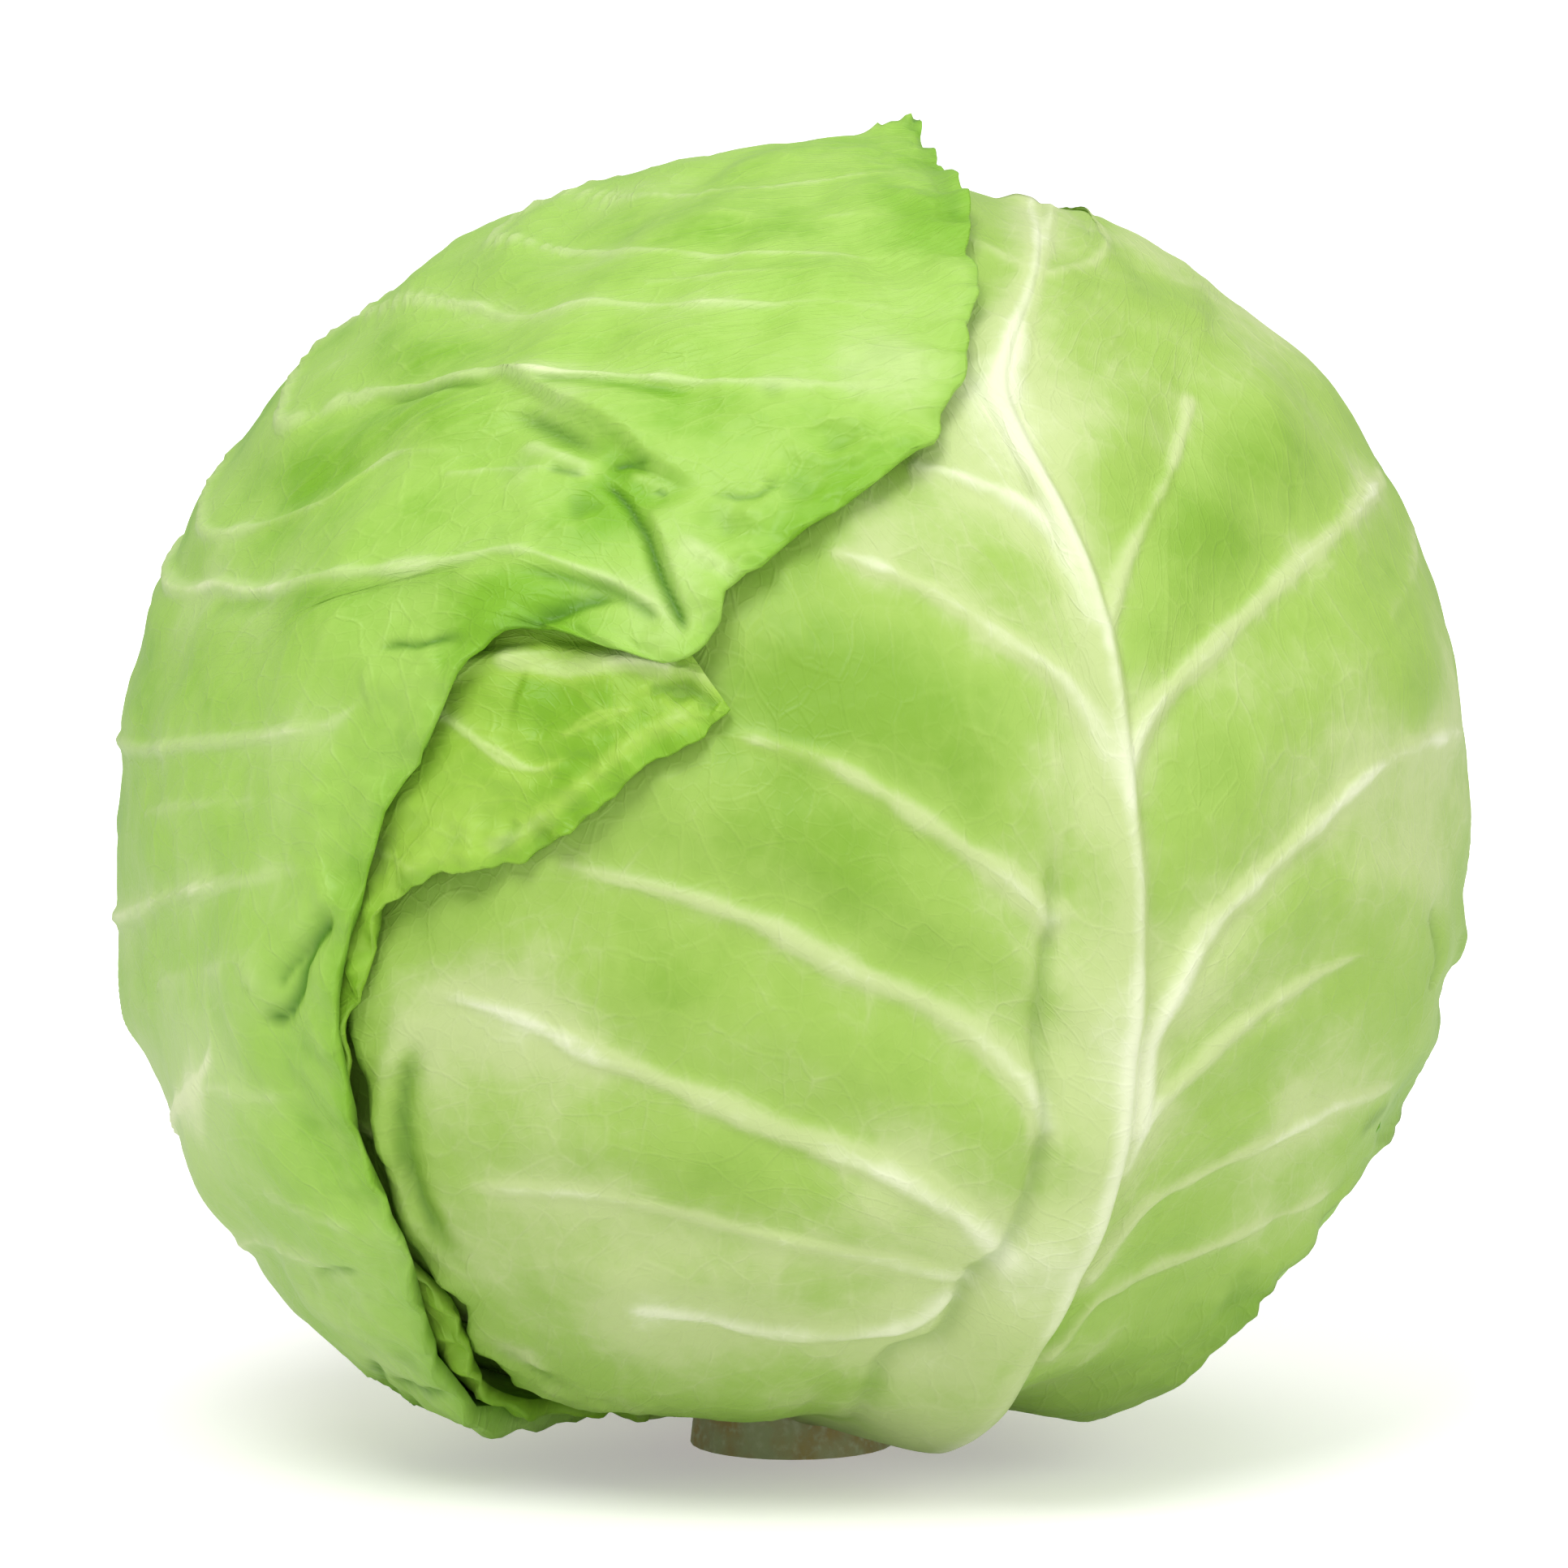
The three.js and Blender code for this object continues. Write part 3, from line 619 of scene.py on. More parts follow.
def startMaterial(name, roughness):
    material = bpy.data.materials.new(name)
    material.use_nodes = True
    shader = material.node_tree.nodes["Principled BSDF"]
    shader.inputs["Roughness"].default_value = roughness
    return material, material.node_tree, shader


# the leaves
def listOf(place):  # many places, from the two numbers of each in a row
    return lambda *numbers: [place(*pair) for pair in zip(numbers[::2], numbers[1::2])]


trail, ring, crown = listOf(near), listOf(far), listOf(over)


def spots(*rows):  # the pixel of a place, then what it has
    return [(near(column, line), *rest) for column, line, *rest in rows]


leafBasis = {  # what a leaf has unless it says otherwise
    "cadRows": (0, 0.14, 0.5, 0.86), "rib": 2, "thickness": 0.9, "ribTip": 0.2, "ribSkew": 1, "ribPale": 0.5,
    "netStrength": 0.5,
    "veins": [],  # path, half width, height, paleness
    "strokes": [],  # pixels of the path, half widths left and right, height, painted shade in its fold, paleness, taper
    "zones": [],  # place, width, paleness
    "bulges": [],  # place, width, height
    "lobes": [],  # place, width, how far the margin goes out
    "crinkles": [],  # place, width, height, wave length
    "frills": [],  # as the crinkles
    "colours": [  # deep, mid, pale, white, and the shade painted into folds
        (0.165, 0.40, 0.020), (0.31, 0.54, 0.07), (0.50, 0.67, 0.20), (0.78, 0.87, 0.50), (0.075, 0.21, 0.010)],
}

lowLeaf = {
    **leafBasis, "name": "lowFrontLeaf", "node": "leaf_low_front", "cells": (60, 50), "cadRows": (0, 0.3, 0.7),
    "cadColumns": 2, "seed": 3, "swell": 0.4, "ribHeight": 3.2, "ribHalf": 5, "ribHalo": 6, "crestHighlightPaint": 0.3,
    "veinHeight": 1, "veinHalf": 1.6, "rowVeins": [[0, 1, 1, 1, 0]] * 2, "branchGap": 8, "veinRise": 0.3,
    "scallopLength": 9, "scallopDepth": 2.5, "pucker": 0.6, "ruffle": 0.5, "ruffleLength": 11, "pale": 0.1,
    "basePale": 0.3, "edgeFresh": 0.1,
    "crinkles": spots((760, 1730, 14, 0.5, 5)),
    "colours": [(0.16, 0.3, 0.03), (0.25, 0.42, 0.06), (0.42, 0.56, 0.16), (0.66, 0.76, 0.38), (0.08, 0.17, 0.015)],
    "net": [
        ring(-29, -79, -23, -79, -16, -79, -9, -79, -3, -79),
        ring(-62, -63, -42, -65, -18, -66, 5, -65, 25, -63),
        ring(-70, -44, -45, -47, -18, -49, 10, -47, 34, -44),
        ring(-64, -24, -42, -26, -18, -28, 8, -26, 30, -24),
        ring(-36, -9, -28, -6, -18, -5, -8, -6, 2, -9),
    ],
}

backLeaf = {
    **leafBasis, "name": "backLeaf", "node": "leaf_back", "cells": (95, 75), "cadColumns": 4, "seed": 11,
    "swell": 0.5, "ribHeight": 4.5, "ribHalf": 7, "ribHalo": 8, "crestHighlightPaint": 0.35, "veinHeight": 1.2,
    "veinHalf": 1.9, "rowVeins": [[0, 1, 1, 1, 1, 1, 1, 0.8, 0.5, 0]] * 2, "branchGap": 9, "veinRise": 0.75,
    "scallopLength": 10, "scallopDepth": 3, "pucker": 0.8, "ruffle": 0.9, "ruffleLength": 13, "pale": 0.3,
    "basePale": 0.4, "edgeFresh": 0.2,
    "net": [
        ring(100, -79, 124, -79, 150, -79, 174, -79, 198, -79),
        ring(60, -63, 108, -63, 150, -63, 184, -62, 214, -60),
        ring(66, -38, 110, -42, 150, -45, 188, -42, 224, -38),
        ring(70, -12, 110, -20, 150, -25, 190, -20, 228, -12),
        ring(68, 16, 108, 6, 150, -3, 192, 6, 230, 16),
        ring(64, 42, 106, 32, 149, 19, 194, 32, 236, 42),
        ring(54, 60, 100, 54, 147, 41, 198, 54, 248, 60),
        ring(52, 67, 95, 68, 144, 62, 200, 68, 250, 67),
        ring(48, 77, 90, 80, 140, 79, 200, 80, 250, 77),
        ring(20, 84, 0, 87, -30, 88, -70, 87, -95, 84),
    ],
}

ribLeaf = {
    **leafBasis, "name": "frontRibLeaf", "node": "leaf_front_rib", "cells": (108, 84), "cadColumns": 3, "rib": 3,
    "seed": 23, "swell": 0.42, "ribHeight": 5.4, "ribTip": 0.5, "ribHalf": 9.5, "ribSkew": 1.7, "ribHalo": 7,
    "ribPale": 0.42, "crestHighlightPaint": 0.3, "veinHeight": 0.8, "veinHalf": 1.6, "rowVeins": [[0] * 10 + [0.5, 0]] * 2,
    "branchGap": 11, "veinRise": 0, "veinFade": 0.08, "veinGlow": 3.4, "scallopLength": 8, "scallopDepth": 2.5,
    "pucker": 0.5, "ruffle": 0.8, "ruffleLength": 12, "pale": 0.28, "basePale": 0, "edgeFresh": 0.12,
    "netStrength": 0.45,
    "colours": [(0.22, 0.41, 0.035), (0.335, 0.52, 0.09), (0.52, 0.63, 0.26), (0.78, 0.83, 0.56),
        (0.12, 0.25, 0.02)],
    "veins": [
        (trail(1168, 1597, 1106, 1628, 940, 1636, 857, 1620, 770, 1600), 2, 1.1, 0.8),
        (trail(1232, 1540, 1210, 1512, 1168, 1480, 1065, 1428, 950, 1388, 860, 1345, 740, 1300, 640, 1255,
         500, 1212), 2.2, 1.2, 0.95),
        (trail(1190, 1576, 1150, 1562, 1000, 1530, 900, 1510, 750, 1470, 560, 1455), 1.6, 0.8, 0.6),
        (trail(1286, 1385, 1272, 1345, 1226, 1296, 1151, 1244, 1036, 1193, 940, 1140, 820, 1100, 660, 1060),
         2.3, 1.3, 1),
        (trail(1302, 1136, 1254, 1089, 1180, 1038, 1065, 963, 1000, 930, 890, 900), 2.3, 1.3, 1),
        (trail(1385, 960, 1330, 850, 1240, 780, 1130, 710, 1010, 665), 2.2, 1.2, 0.95),
        (trail(1350, 760, 1290, 630, 1180, 575, 1120, 555), 2, 1, 0.9),
        (trail(1290, 1665, 1352, 1606, 1421, 1583, 1495, 1549, 1570, 1514, 1650, 1468), 1.5, 0.8, 0.6),
        (trail(1340, 1570, 1409, 1491, 1478, 1463, 1570, 1417, 1639, 1376, 1725, 1325), 1.8, 0.9, 0.7),
        (trail(1385, 1440, 1421, 1376, 1467, 1331, 1524, 1279, 1610, 1221, 1700, 1168), 1.7, 0.9, 0.7),
        (trail(1405, 1390, 1426, 1290, 1455, 1221, 1495, 1153, 1553, 1095, 1627, 1026, 1713, 934, 1794, 900),
         2.3, 1.3, 1.1),
        (trail(1395, 980, 1410, 910, 1460, 840, 1560, 740, 1640, 660, 1700, 575), 2.1, 1.2, 1.05),
        (trail(1365, 790, 1400, 680, 1440, 600, 1465, 540, 1475, 470), 1.5, 0.9, 0.8),
        (trail(1700, 760, 1730, 700, 1740, 640), 1, 0.4, 0.4),
        (trail(1245, 470, 1275, 350, 1290, 255), 2.2, 0.8, 0.8),
    ],
    "strokes": [
        ((1309, 1010, 1306, 1118, 1289, 1244, 1283, 1388, 1248, 1508, 1191, 1577, 1155, 1640, 1093, 1668,
         1025, 1712), 1.6, 1.3, -1.3, 0.3, 0, 0.12),
        ((1255, 1290, 1235, 1400, 1190, 1500, 1120, 1590, 1020, 1650, 940, 1690), 3, 7, 1.1, 0, 0, 0.2),
        ((524, 1262, 503, 1310, 496, 1360, 500, 1420, 517, 1480, 542, 1530, 572, 1575),
         2.4, 0.9, -1.1, 0.75, -0.25, 0.2),
        ((506, 1240, 480, 1320, 476, 1390, 494, 1460, 530, 1540), 1.4, 1.6, 0.9, 0, 0.15, 0.2),
        ((1752, 1120, 1757, 1176, 1750, 1215), 1.5, 1, -0.8, 0.3, 0, 0.06),
        ((1714, 1358, 1696, 1378, 1672, 1402), 1.6, 1.6, 0.2, 0.55, 0, 0.2),
    ],
    "bulges": spots((1765, 1272, 6, -1.2), (1735, 640, 15, 0.9), (1440, 315, 12, 1.5), (1330, 270, 5, 0.9),
        (1806, 1000, 17, 2), (1790, 1170, 8, 1), (1710, 1405, 7, -2), (1150, 880, 12, 0.6), (1090, 1090, 12, 0.7),
        (1040, 1300, 13, 0.7), (1560, 900, 14, 0.7), (1520, 1180, 10, 0.5)),
    "lobes": spots((825, 1744, 4.5, 2.2), (885, 1716, 2, -2.5), (942, 1760, 4.5, 2.8), (735, 1722, 4, 1.2),
        (458, 1350, 6, 1.2), (498, 1470, 9, 3.2), (550, 1555, 7, 2.2), (605, 1655, 6, 3), (648, 1702, 7, 5.5)),
    "crinkles": spots((1742, 1350, 5, 0.8, 4.5), (700, 1700, 12, 0.7, 5), (1560, 1600, 12, 0.5, 6)),
    "zones": spots((644, 1667, 3.5, 0.6), (700, 1560, 26, 0.4), (950, 1560, 22, 0.2), (560, 1280, 9, 0.4),
        (1560, 380, 18, 0.35), (1490, 400, 13, 0.14), (1760, 1050, 12, 0.2), (1290, 1620, 10, -0.25),
        (1150, 1740, 10, -0.3), (1560, 900, 24, -0.08), (1700, 1150, 22, 0.26), (1000, 850, 13, -0.4),
        (1150, 900, 15, -0.45), (1150, 640, 14, 0.2), (880, 1090, 14, -0.12), (1090, 1290, 12, -0.2),
        (1235, 480, 12, 0.45), (900, 1450, 12, -0.14), (1500, 640, 13, -0.25), (1440, 1050, 9, -0.15),
        (1060, 1120, 12, -0.12)),
    "net": [
        ring(-18, -79, -3, -79, 13, -79, 30, -79, 46, -79, 62, -79, 78, -79),
        ring(-37, -64, -16, -64, 8, -62, 27, -60, 37, -59, 50, -59, 70, -60),
        trail(622, 1672, 880, 1640, 1115, 1640, 1250, 1650, 1350, 1600, 1460, 1590, 1570, 1590),
        trail(500, 1470, 850, 1500, 1150, 1545, 1300, 1570, 1410, 1500, 1540, 1450, 1672, 1460),
        trail(430, 1240, 860, 1345, 1170, 1465, 1345, 1480, 1450, 1400, 1600, 1335, 1735, 1360),
        trail(400, 1010, 900, 1120, 1200, 1245, 1385, 1330, 1490, 1265, 1640, 1185, 1795, 1190),
        trail(430, 760, 960, 920, 1235, 1075, 1402, 1190, 1490, 1160, 1650, 1020) + ring(98, -3),
        trail(600, 460, 1010, 670, 1255, 790, 1392, 960, 1480, 820, 1630, 665) + ring(106, 22),
        trail(800, 300, 1110, 535, 1262, 622, 1350, 715, 1440, 600, 1480, 420) + ring(116, 46),
        crown(-1, -14, 13, -44, 21, -50, 27, -54, 38, -42, 50, -18, 44, 22),
        crown(4, -2, 18, -22, 25, -27, 31, -29, 38, -22, 41, -8, 34, 18),
        crown(9, 13, 17, 8, 25, 4, 31, 2, 36, 4, 38, 9, 33, 19),
    ],
}

tuckedLeaf = {
    **leafBasis, "name": "leftTuckedLeaf", "node": "leaf_left_tucked", "cells": (110, 50), "cadColumns": 3,
    "seed": 31, "thickness": 0.8, "swell": 0.5, "ribHeight": 3, "ribHalf": 4, "ribHalo": 4, "ribPale": 0.15,
    "crestHighlightPaint": 0.1, "veinHeight": 0.6, "veinHalf": 1.2,
    "rowVeins": [[0, 1, 1, 1, 0.5, 0.3, 0.3, 0.2, 0.2, 0.2, 0]] * 2, "branchGap": 8, "veinRise": 0.4,
    "veinFade": 0.3, "veinGlow": 2.4, "scallopLength": 5, "scallopDepth": 2.2, "pucker": 0.7, "ruffle": 1,
    "ruffleLength": 7, "pale": 0.12, "basePale": 0.3, "edgeFresh": 0.05,
    "colours": [(0.2, 0.43, 0.015), (0.345, 0.565, 0.065), (0.5, 0.67, 0.2), (0.72, 0.81, 0.42), (0.1, 0.26, 0.01)],
    "veins": [
        (trail(520, 870, 560, 890, 610, 925, 660, 948, 720, 925), 0.9, 0.5, 0.9),
        (trail(700, 905, 740, 885, 800, 870), 0.7, 0.3, 0.5),
    ],
    "strokes": [
        ((610, 812, 683, 826, 732, 824, 790, 815, 835, 825), 1.6, 1.2, 0.6, 0, 0.7, 0.06),
        ((640, 850, 700, 865, 760, 860), 3, 4, 0.7, 0, -0.1, 0.06),
        ((800, 850, 850, 850, 885, 872), 1, 1.4, -0.7, 0.5, 0, 0.06),
        ((640, 1010, 620, 1050, 600, 1085), 1.2, 1, -0.6, 0.3, 0, 0.06),
        ((868, 872, 800, 905, 745, 948, 700, 985, 650, 1020, 590, 1055), 1.2, 1.2, 0.5, 0, 0.35, 0.1),
    ],
    "crinkles": spots((700, 990, 10, 0.6, 5), (560, 1090, 9, 0.6, 4.5), (850, 860, 5, 0.6, 3.5)),
    "bulges": spots((478, 1330, 5, 0.8), (482, 1430, 5, 0.9), (515, 1530, 5, 0.9)),
    # the zones at pixels (475, 1300), (480, 1420) and (515, 1520) paint light onto the strip of this leaf that lies
    # in shade under the big left leaf's margin
    "zones": spots((560, 1000, 10, 0.2), (700, 900, 9, -0.12), (865, 865, 5, 0.2), (475, 1300, 6, 0.5),
        (480, 1420, 6, 0.6), (515, 1520, 6, 0.6)),
    "net": [
        ring(-60, -79, -53, -79, -46, -79, -39, -79, -33, -79),
        ring(-80, -69, -70, -70, -60, -71, -50, -71, -40, -72),
        ring(-84, -52, -74, -54, -64, -56, -54, -57, -46, -58),
        trail(300, 1500, 380, 1540, 445, 1570, 505, 1592, 556, 1612),
        trail(220, 1350, 290, 1370, 345, 1380, 395, 1392, 444, 1402),
        trail(180, 1150, 250, 1180, 325, 1190, 395, 1215, 454, 1285),
        trail(190, 930, 290, 965, 390, 1000, 455, 1060, 500, 1113),
        trail(300, 760, 400, 810, 500, 855, 590, 920, 652, 1072),
        trail(450, 700, 550, 755, 660, 805, 730, 880, 770, 976),
        trail(650, 700, 710, 755, 775, 812, 808, 868, 838, 930),
        trail(838, 790, 856, 812, 872, 835, 888, 857, 903, 878),
    ],
}

wrapLeaf = {
    **leafBasis, "name": "leftWrapLeaf", "node": "leaf_left_wrap", "cells": (118, 76), "cadColumns": 4, "seed": 47,
    "swell": 0.6, "ribHeight": 5, "ribHalf": 8, "ribHalo": 8, "crestHighlightPaint": 0.4, "veinHeight": 1.1, "veinHalf": 1.8,
    "rowVeins": [[0, 1, 1, 1, 1, 1, 0.6, 1, 0.8, 1, 1, 0.8, 0.5, 0], [0] * 14], "branchGap": 7, "veinRise": 0.8,
    "veinFade": 0.25, "veinGlow": 2.6, "rowFocus": ((0, 0.36, 0.78, 1), (0, 5.5, 10.5, 13)),
    "columnFocus": ((0, 0.3, 1), (0, 3, 6)), "scallopLength": 5.5, "scallopDepth": 2.6, "pucker": 0.9,
    "ruffle": 1.1, "ruffleLength": 8, "pale": 0.28, "basePale": 0.4, "edgeFresh": 0.06,
    "colours": [(0.2, 0.445, 0.018), (0.35, 0.585, 0.095), (0.47, 0.655, 0.21), (0.74, 0.83, 0.46),
        (0.085, 0.24, 0.008)],
    "veins": [
        (ring(-168, 71) + trail(600, 288, 711, 288, 781, 305, 858, 314, 1000, 320, 1190, 322), 1, 0.6, 0.75),
        (trail(700, 232, 795, 235, 950, 238, 1150, 242), 0.8, 0.4, 0.6),
        (trail(880, 268, 1000, 276, 1150, 280), 0.6, 0.3, 0.35),
        (ring(-152, 62) + trail(440, 372, 508, 358, 571, 358, 634, 375, 894, 382, 992, 382, 1190, 392),
         1.1, 0.7, 0.85),
        (trail(800, 350, 900, 345, 1060, 350), 0.6, 0.3, 0.3),
        (ring(-140, 50) + trail(340, 520, 431, 474, 515, 467, 571, 465, 627, 465, 655, 472, 781, 472, 922, 477,
         1062, 481, 1150, 490), 1.2, 1, 1),
        (ring(-132, 36) + trail(241, 649, 290, 646, 360, 628, 410, 614, 452, 579, 480, 565, 543, 563, 620, 568),
         1.1, 0.8, 0.7),
        (trail(560, 590, 640, 582, 700, 586, 750, 598), 0.7, 0.4, 0.5),
        (ring(-127, 22) + trail(199, 719, 255, 716, 325, 730, 431, 723, 515, 711, 585, 698, 641, 688, 711, 705,
         767, 726, 802, 747, 830, 768, 851, 806), 1.3, 1, 1),
        (ring(-122, 2) + trail(166, 922, 234, 918, 357, 906, 431, 893, 490, 850), 1.2, 0.8, 0.85),
        (ring(-118, -12) + trail(160, 1125, 209, 1103, 296, 1084, 420, 1062), 1.3, 0.9, 0.95),
        (ring(-115, -28) + trail(200, 1400, 222, 1368, 259, 1331, 283, 1294, 290, 1244), 1.4, 0.9, 1),
        (trail(262, 1325, 320, 1330, 400, 1335), 0.9, 0.4, 0.5),
        (ring(-113, -45) + trail(308, 1528, 345, 1515, 407, 1528, 470, 1545), 1.2, 0.7, 0.8),
        (trail(360, 1450, 420, 1470, 470, 1490), 0.8, 0.4, 0.4),
        (trail(180, 1000, 260, 990, 370, 985), 0.7, 0.4, 0.4),
        (trail(200, 1210, 280, 1190, 370, 1150), 0.7, 0.4, 0.4),
    ],
    "strokes": [
        ((445, 482, 506, 478, 563, 478, 630, 478), 0.7, 1.2, -0.6, 0.6, 0, 0.2),
        ((650, 478, 691, 480, 741, 481, 813, 484, 870, 488), 0.7, 1.6, -0.5, 0.35, -0.3, 0.2),
        ((600, 452, 641, 470, 670, 486, 706, 508, 741, 524, 777, 544, 799, 565, 831, 583, 875, 598),
         5.5, 0.8, 2.2, 0, 0.15, 0.16),
        ((618, 522, 656, 518, 684, 530, 716, 545, 756, 567), 1, 2, -1.6, 0.7, 0, 0.25),
        ((640, 548, 680, 560, 720, 575, 750, 586), 1, 1.4, 0.7, 0, 0.45, 0.2),
        ((752, 580, 765, 572, 785, 570, 806, 578), 0.6, 0.9, -0.8, 0.9, 0, 0.2),
        ((770, 586, 800, 592, 826, 610), 1.1, 1.2, 0.8, 0, 0.3, 0.2),
        ((806, 602, 824, 611), 0.6, 0.8, -0.5, 0.6, 0, 0.2),
        ((866, 606, 891, 611, 913, 615, 938, 611, 952, 597, 966, 578), 0.6, 0.8, -0.6, 0.55, 0, 0.2),
        ((677, 580, 699, 585, 728, 593), 0.6, 0.9, -0.5, 0.6, 0, 0.2),
        ((730, 592, 756, 604, 774, 622, 788, 644, 799, 661, 809, 690, 820, 719, 834, 747, 845, 772, 851, 802),
         0.6, 1.1, -1.3, 0.95, 0, 0.12),
        ((800, 622, 822, 670, 840, 720, 856, 770), 4.5, 0.8, 1.7, 0, 0.1, 0.15),
        ((838, 668, 866, 686, 891, 704, 925, 724), 1, 1.4, 0.7, 0, 0.4, 0.2),
        ((899, 744, 908, 760, 882, 794), 0.9, 1, -0.6, 0.5, 0, 0.2),
        ((640, 706, 690, 716, 760, 734, 806, 762, 820, 780), 0.7, 1.3, -0.7, 0.55, 0, 0.2),
        ((600, 800, 649, 790, 680, 775, 715, 757, 750, 745, 785, 744), 2.4, 1, -1.3, 0.85, 0, 0.2),
        ((480, 806, 509, 802, 541, 802, 563, 794, 595, 798), 0.6, 0.9, -0.8, 0.8, 0, 0.2),
        ((470, 860, 520, 838, 560, 812), 2.5, 3, 0.8, 0, 0.1, 0.06),
        ((446, 1118, 420, 1148, 408, 1180, 402, 1212, 384, 1238, 352, 1236), 0.9, 1.3, -1.5, 0.95, 0, 0.12),
        ((416, 1156, 392, 1180, 374, 1208), 0.9, 1, -0.9, 0.6, 0, 0.2),
        ((440, 1090, 405, 1120, 372, 1165, 350, 1205), 1.2, 3.5, 1.1, 0, 0.1, 0.06),
        ((487, 1640, 497, 1662, 494, 1692), 1, 1.2, -1.2, 0.9, 0, 0.2),
        ((503, 1660, 540, 1667, 584, 1668), 0.9, 1.3, -1.2, 0.9, 0, 0.2),
        ((1074, 204, 1090, 196, 1106, 204), 1.2, 1.6, -1.3, 0.95, 0, 0.2),
        ((1111, 206, 1124, 199, 1137, 208), 1.2, 1.6, -1.3, 0.95, 0, 0.2),
        ((1126, 230, 1144, 218, 1162, 210), 1.1, 1.9, -1, 0.95, 0, 0.2),
        ((405, 1545, 440, 1536, 472, 1536), 0.6, 0.9, -0.6, 0.5, 0, 0.2),
        ((250, 745, 360, 745, 480, 735, 590, 715), 0.9, 2.2, -0.4, 0.15, -0.15, 0.06),
        ((1130, 215, 1155, 250, 1178, 300), 1.6, 2.5, -0.6, 0.3, 0, 0.06),
    ],
    "bulges": spots((1092, 182, 2.4, 2.8), (1131, 190, 2.4, 2.4), (1153, 204, 2.2, 1.5)) +
        [(far(-62, -70), 14, -3.8)] + spots((900, 205, 18, 2.2), (150, 1230, 14, 2), (560, 560, 12, 0.8),
        (380, 830, 13, 0.9), (280, 1010, 13, 0.8), (980, 430, 14, 0.7), (330, 1200, 10, 0.8), (240, 800, 10, 0.6)),
    "frills": spots((550, 1700, 9, 2.4, 4.2), (1135, 212, 6, 0.9, 3.6)),
    "lobes": spots((1034, 634, 1.8, 2), (950, 702, 1.8, 1.8), (995, 672, 1.6, -1.2), (1152, 548, 2.5, 1),
        (905, 752, 1.6, -1), (1172, 485, 1.8, -1), (450, 1310, 9, 1.6), (488, 1480, 9, 2.4), (520, 1545, 7, 1.6),
        (597, 1683, 5, 2)) + [(far(-72, -70), 9, -4)],
    "crinkles": spots((1112, 200, 5, 0.4, 3.2), (1020, 560, 13, 1, 6), (920, 700, 8, 1.5, 4.5),
        (560, 1695, 9, 2.2, 3.6), (480, 1600, 9, 0.6, 5), (700, 620, 9, 0.4, 5), (400, 1300, 10, 0.4, 6)),
    "zones": spots((1040, 575, 9, -0.3), (250, 1300, 15, 0.3), (300, 1100, 22, 0.1), (950, 330, 26, 0.08),
        (900, 260, 12, -0.2), (1080, 460, 9, 0.35), (900, 600, 7, 0.35), (700, 620, 12, -0.2), (650, 745, 9, -0.3),
        (760, 640, 6, -0.15), (560, 500, 9, -0.1), (850, 500, 12, -0.15), (330, 680, 9, -0.15),
        (1160, 290, 6, -0.25), (240, 1450, 18, 0.42), (400, 560, 15, -0.3), (260, 1350, 10, 0.3),
        (330, 470, 12, -0.2), (570, 1700, 9, -0.5)),
    "net": [
        ring(-150, -79, -134, -79, -118, -79, -104, -79, -92, -79, -80, -79, -68, -79),
        ring(-168, -62, -142, -63, -112, -62, -96, -58) + trail(440, 1620, 520, 1660, 597, 1683),
        ring(-176, -44, -146, -46, -113, -45, -97, -42) + trail(350, 1530, 440, 1525, 520, 1545),
        ring(-180, -28, -150, -30, -115, -28, -98, -25) + trail(290, 1320, 380, 1325, 456, 1350),
        ring(-184, -12, -152, -14, -118, -12) + trail(165, 1140, 270, 1080, 380, 1062, 470, 1092),
        ring(-186, 2, -154, 0, -122, 2) + trail(172, 960, 290, 925, 410, 912, 540, 930),
        ring(-187, 12, -156, 10, -125, 12) + trail(195, 830, 340, 800, 500, 748, 650, 785),
        ring(-188, 22, -157, 20, -127, 22) + trail(235, 722, 430, 728, 680, 690, 848, 822),
        ring(-190, 36, -160, 34, -132, 36) + trail(310, 610, 530, 560, 740, 590, 945, 703),
        ring(-192, 52, -166, 50, -140, 50) + trail(450, 478, 700, 468, 930, 475, 1152, 545),
        ring(-192, 65, -172, 63, -152, 62) + trail(560, 365, 790, 384, 1000, 390, 1202, 410),
        ring(-190, 73, -180, 72, -168, 71) + trail(690, 292, 880, 316, 1040, 320, 1196, 318),
        crown(9, 21, 5, 21, -1, 20, -8, 2, 1, -10, 12, -13, 21, -9.5),
        crown(13, 15, 13.5, 14, 14, 13, 14.5, 12, 15, 10.5, 15.5, 9, 16, 7.4),
    ],
}


for leaf in (lowLeaf, backLeaf, ribLeaf, tuckedLeaf, wrapLeaf):
    bladeObject(leaf)


# heart and stem keep their CAD shapes
def stemMaterial():
    material, tree, shader = startMaterial("cutStem", 0.7)
    places = objectPlaces(tree)
    fibres = addNoise(tree, places, 900.0, 4.0).outputs["Fac"]
    stains = addNoise(tree, places, 160.0, 5.0).outputs["Fac"]
    tone = mixColour(tree, rampBetween(tree, stains, 0.35, 0.7), (0.60, 0.64, 0.36, 1), (0.60, 0.44, 0.17, 1))
    tone = mixColour(tree, rampBetween(tree, fibres, 0.45, 0.8), tone, (0.74, 0.76, 0.50, 1))
    tree.links.new(tone, shader.inputs["Base Color"])
    addBump(tree, shader, fibres, 0.5, 0.0004)
    return material


def assign(node, material):
    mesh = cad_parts[node].data
    mesh.materials.clear()
    mesh.materials.append(material)


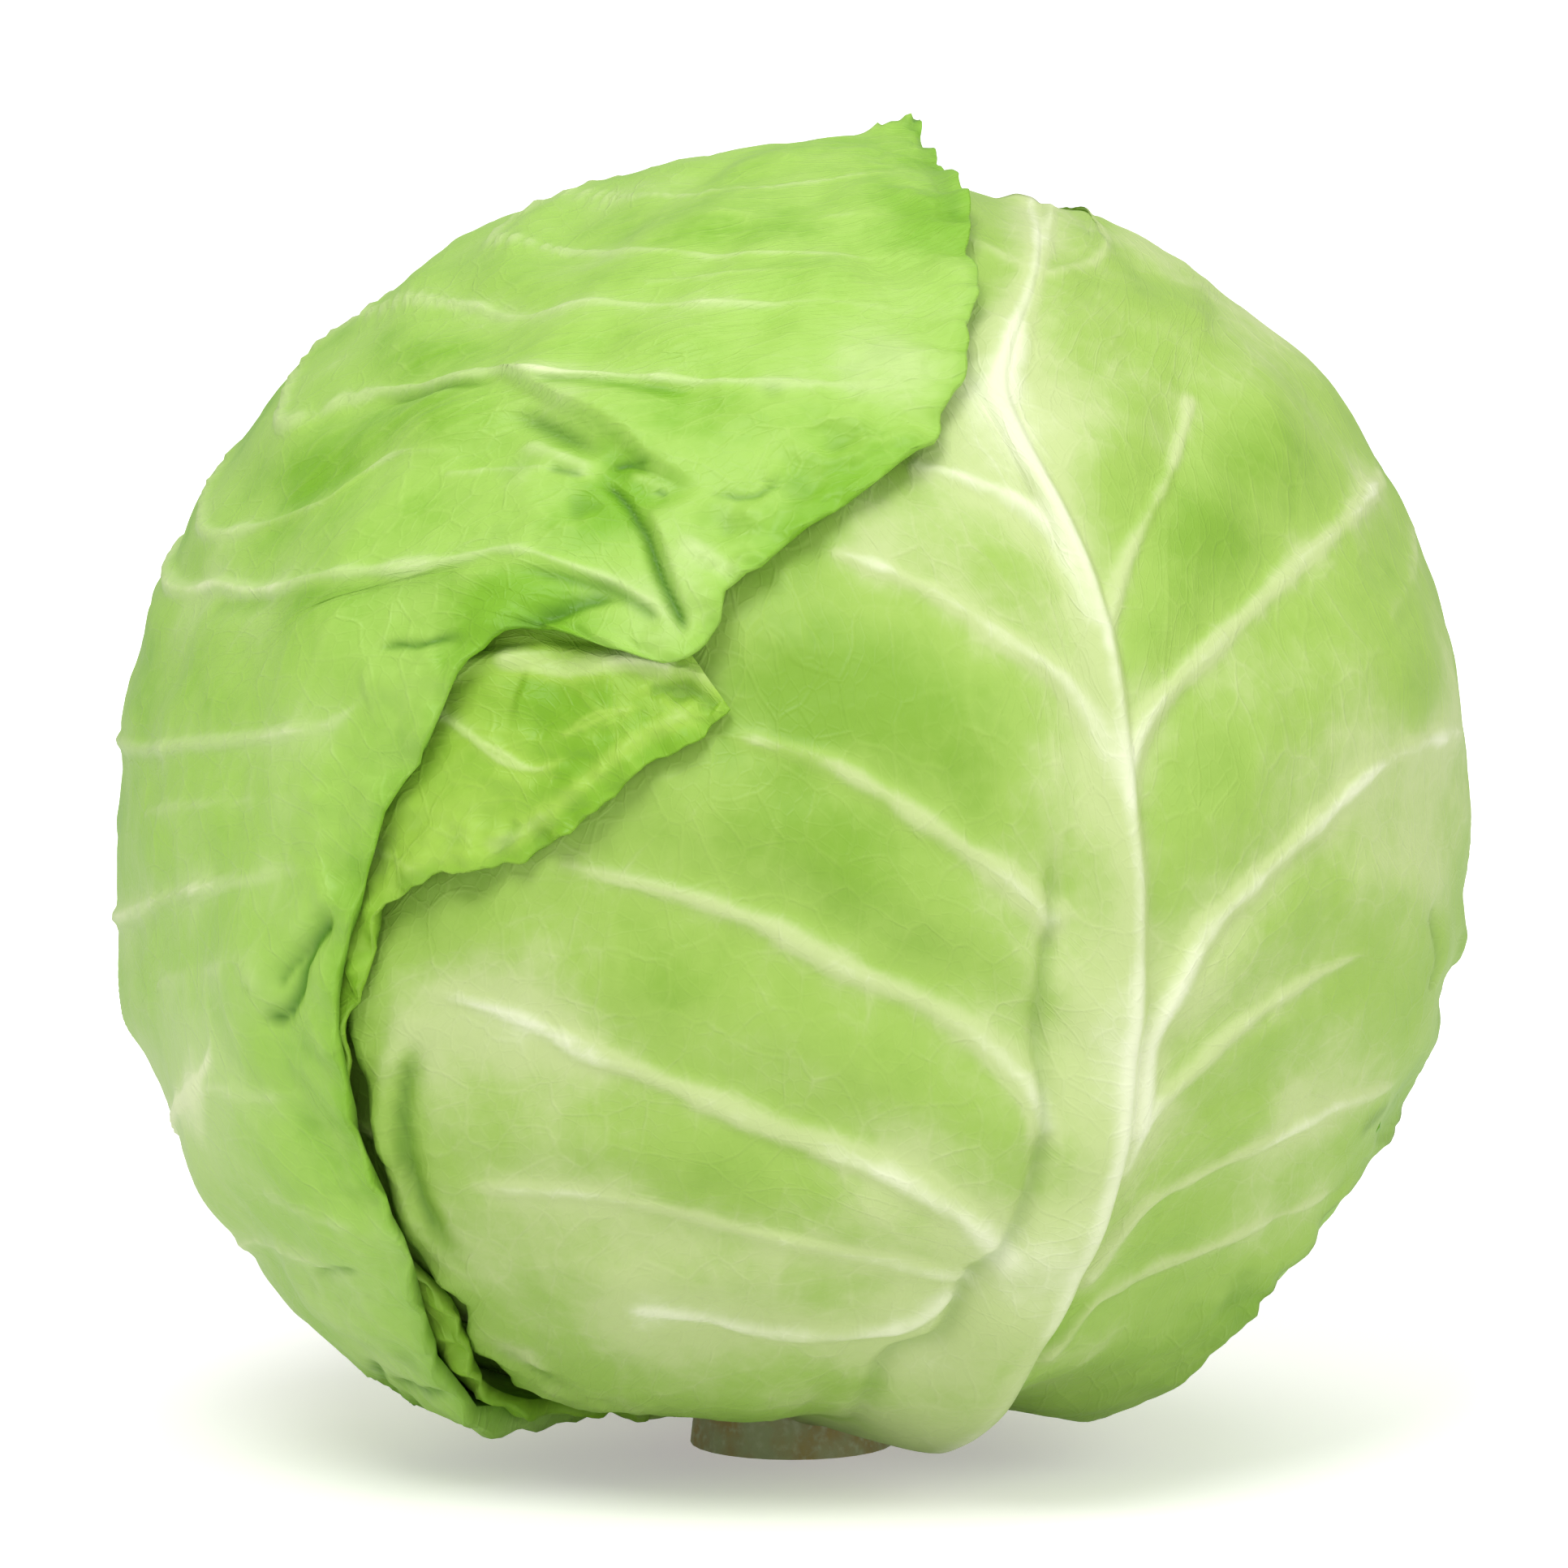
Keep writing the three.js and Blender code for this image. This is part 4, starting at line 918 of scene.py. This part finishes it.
def heartMaterial():
    material, tree, shader = startMaterial("heartSkin", 0.45)
    places = objectPlaces(tree)
    patches = addNoise(tree, places, 60.0, 5.0).outputs["Fac"]
    cells = {"feature": "DISTANCE_TO_EDGE", "Scale": 120.0}
    veins = addNode(tree, "ShaderNodeTexVoronoi", cells, {"Vector": places})
    tone = mixColour(tree, patches, (0.45, 0.62, 0.18, 1), (0.72, 0.8, 0.42, 1))
    tone = mixColour(tree, rampBetween(tree, veins.outputs["Distance"], 0.0, 0.12), (0.8, 0.86, 0.55, 1), tone)
    tree.links.new(tone, shader.inputs["Base Color"])
    addBump(tree, shader, patches, 0.4, 0.0005)
    return material


assign("stump", stemMaterial())
assign("heart", heartMaterial())
print("finishes set")


# the stage
stage = {  # lengths in metres
    "floorSize": 12.0, "floorColour": (0.9, 0.9, 0.9), "worldLight": 0.56, "backdropLight": 1.05,
    # glowNear and glowFar: light painted onto the floor near the head and away from it
    "glowNear": (0.36, 0.34, 0.345), "glowFar": (0.75, 0.75, 0.75), "glowFrom": 0.12, "glowTo": 0.45,
}


def floorMaterial():  # paper with a glow painted on it, seen only by the camera: weaker near the head, where it lightens the cast shadow, and strong enough away from it to turn the floor plain white
    material, tree, shader = startMaterial("floorPaper", 0.9)
    shader.inputs["Base Color"].default_value = (*stage["floorColour"], 1)
    away = addNode(tree, "ShaderNodeVectorMath", {"operation": "LENGTH"}, {0: objectPlaces(tree)})
    share = rampBetween(tree, away.outputs["Value"], stage["glowFrom"], stage["glowTo"])
    glow = mixColour(tree, share, (*stage["glowNear"], 1), (*stage["glowFar"], 1))
    path = tree.nodes.new("ShaderNodeLightPath")
    glow = mixColour(tree, path.outputs["Is Camera Ray"], (0.0, 0.0, 0.0, 1), glow)
    tree.links.new(glow, shader.inputs["Emission Color"])
    shader.inputs["Emission Strength"].default_value = 1.0
    return material


def makeFloor():
    bm = bmesh.new()
    bmesh.ops.create_grid(bm, x_segments=1, y_segments=1, size=stage["floorSize"] / 2)
    mesh = bpy.data.meshes.new("floor")
    bm.to_mesh(mesh)
    bm.free()
    floor = addObject("floor", mesh)
    mesh.materials.append(floorMaterial())


def makeWorld():
    world = bpy.data.worlds.new("studio")
    world.use_nodes = True
    tree = world.node_tree
    background = tree.nodes["Background"]
    backdrop = addNode(tree, "ShaderNodeBackground", {"Color": (1, 1, 1, 1), "Strength": stage["backdropLight"]})
    path = tree.nodes.new("ShaderNodeLightPath")
    mix = tree.nodes.new("ShaderNodeMixShader")
    background.inputs["Color"].default_value = (1, 1, 1, 1)
    background.inputs["Strength"].default_value = stage["worldLight"]
    tree.links.new(path.outputs["Is Camera Ray"], mix.inputs[0])
    tree.links.new(background.outputs[0], mix.inputs[1])
    tree.links.new(backdrop.outputs[0], mix.inputs[2])
    tree.links.new(mix.outputs[0], tree.nodes["World Output"].inputs["Surface"])
    bpy.context.scene.world = world


lights = [  # name, place in metres, size, watts
    ("keyLight", (-0.4, -1.2, 1.65), 1.0, 20.0),
    ("fillLight", (1.4, -1.0, 0.9), 1.2, 7.4),
    ("topLight", (0.4, 0.1, 1.8), 1.4, 7.2),
]


def makeLights():
    centre = Vector(headForm["centre"] * metresPerMm)
    for name, place, size, watts in lights:
        data = bpy.data.lights.new(name, "AREA")
        data.shape = "DISK"
        data.size = size
        data.energy = watts
        lamp = addObject(name, data)
        lamp.location = place
        lamp.rotation_euler = (centre - Vector(place)).to_track_quat("-Z", "Y").to_euler()


makeFloor()
makeWorld()
makeLights()
bpy.context.scene.view_settings.view_transform = "Standard"
print("stage set")
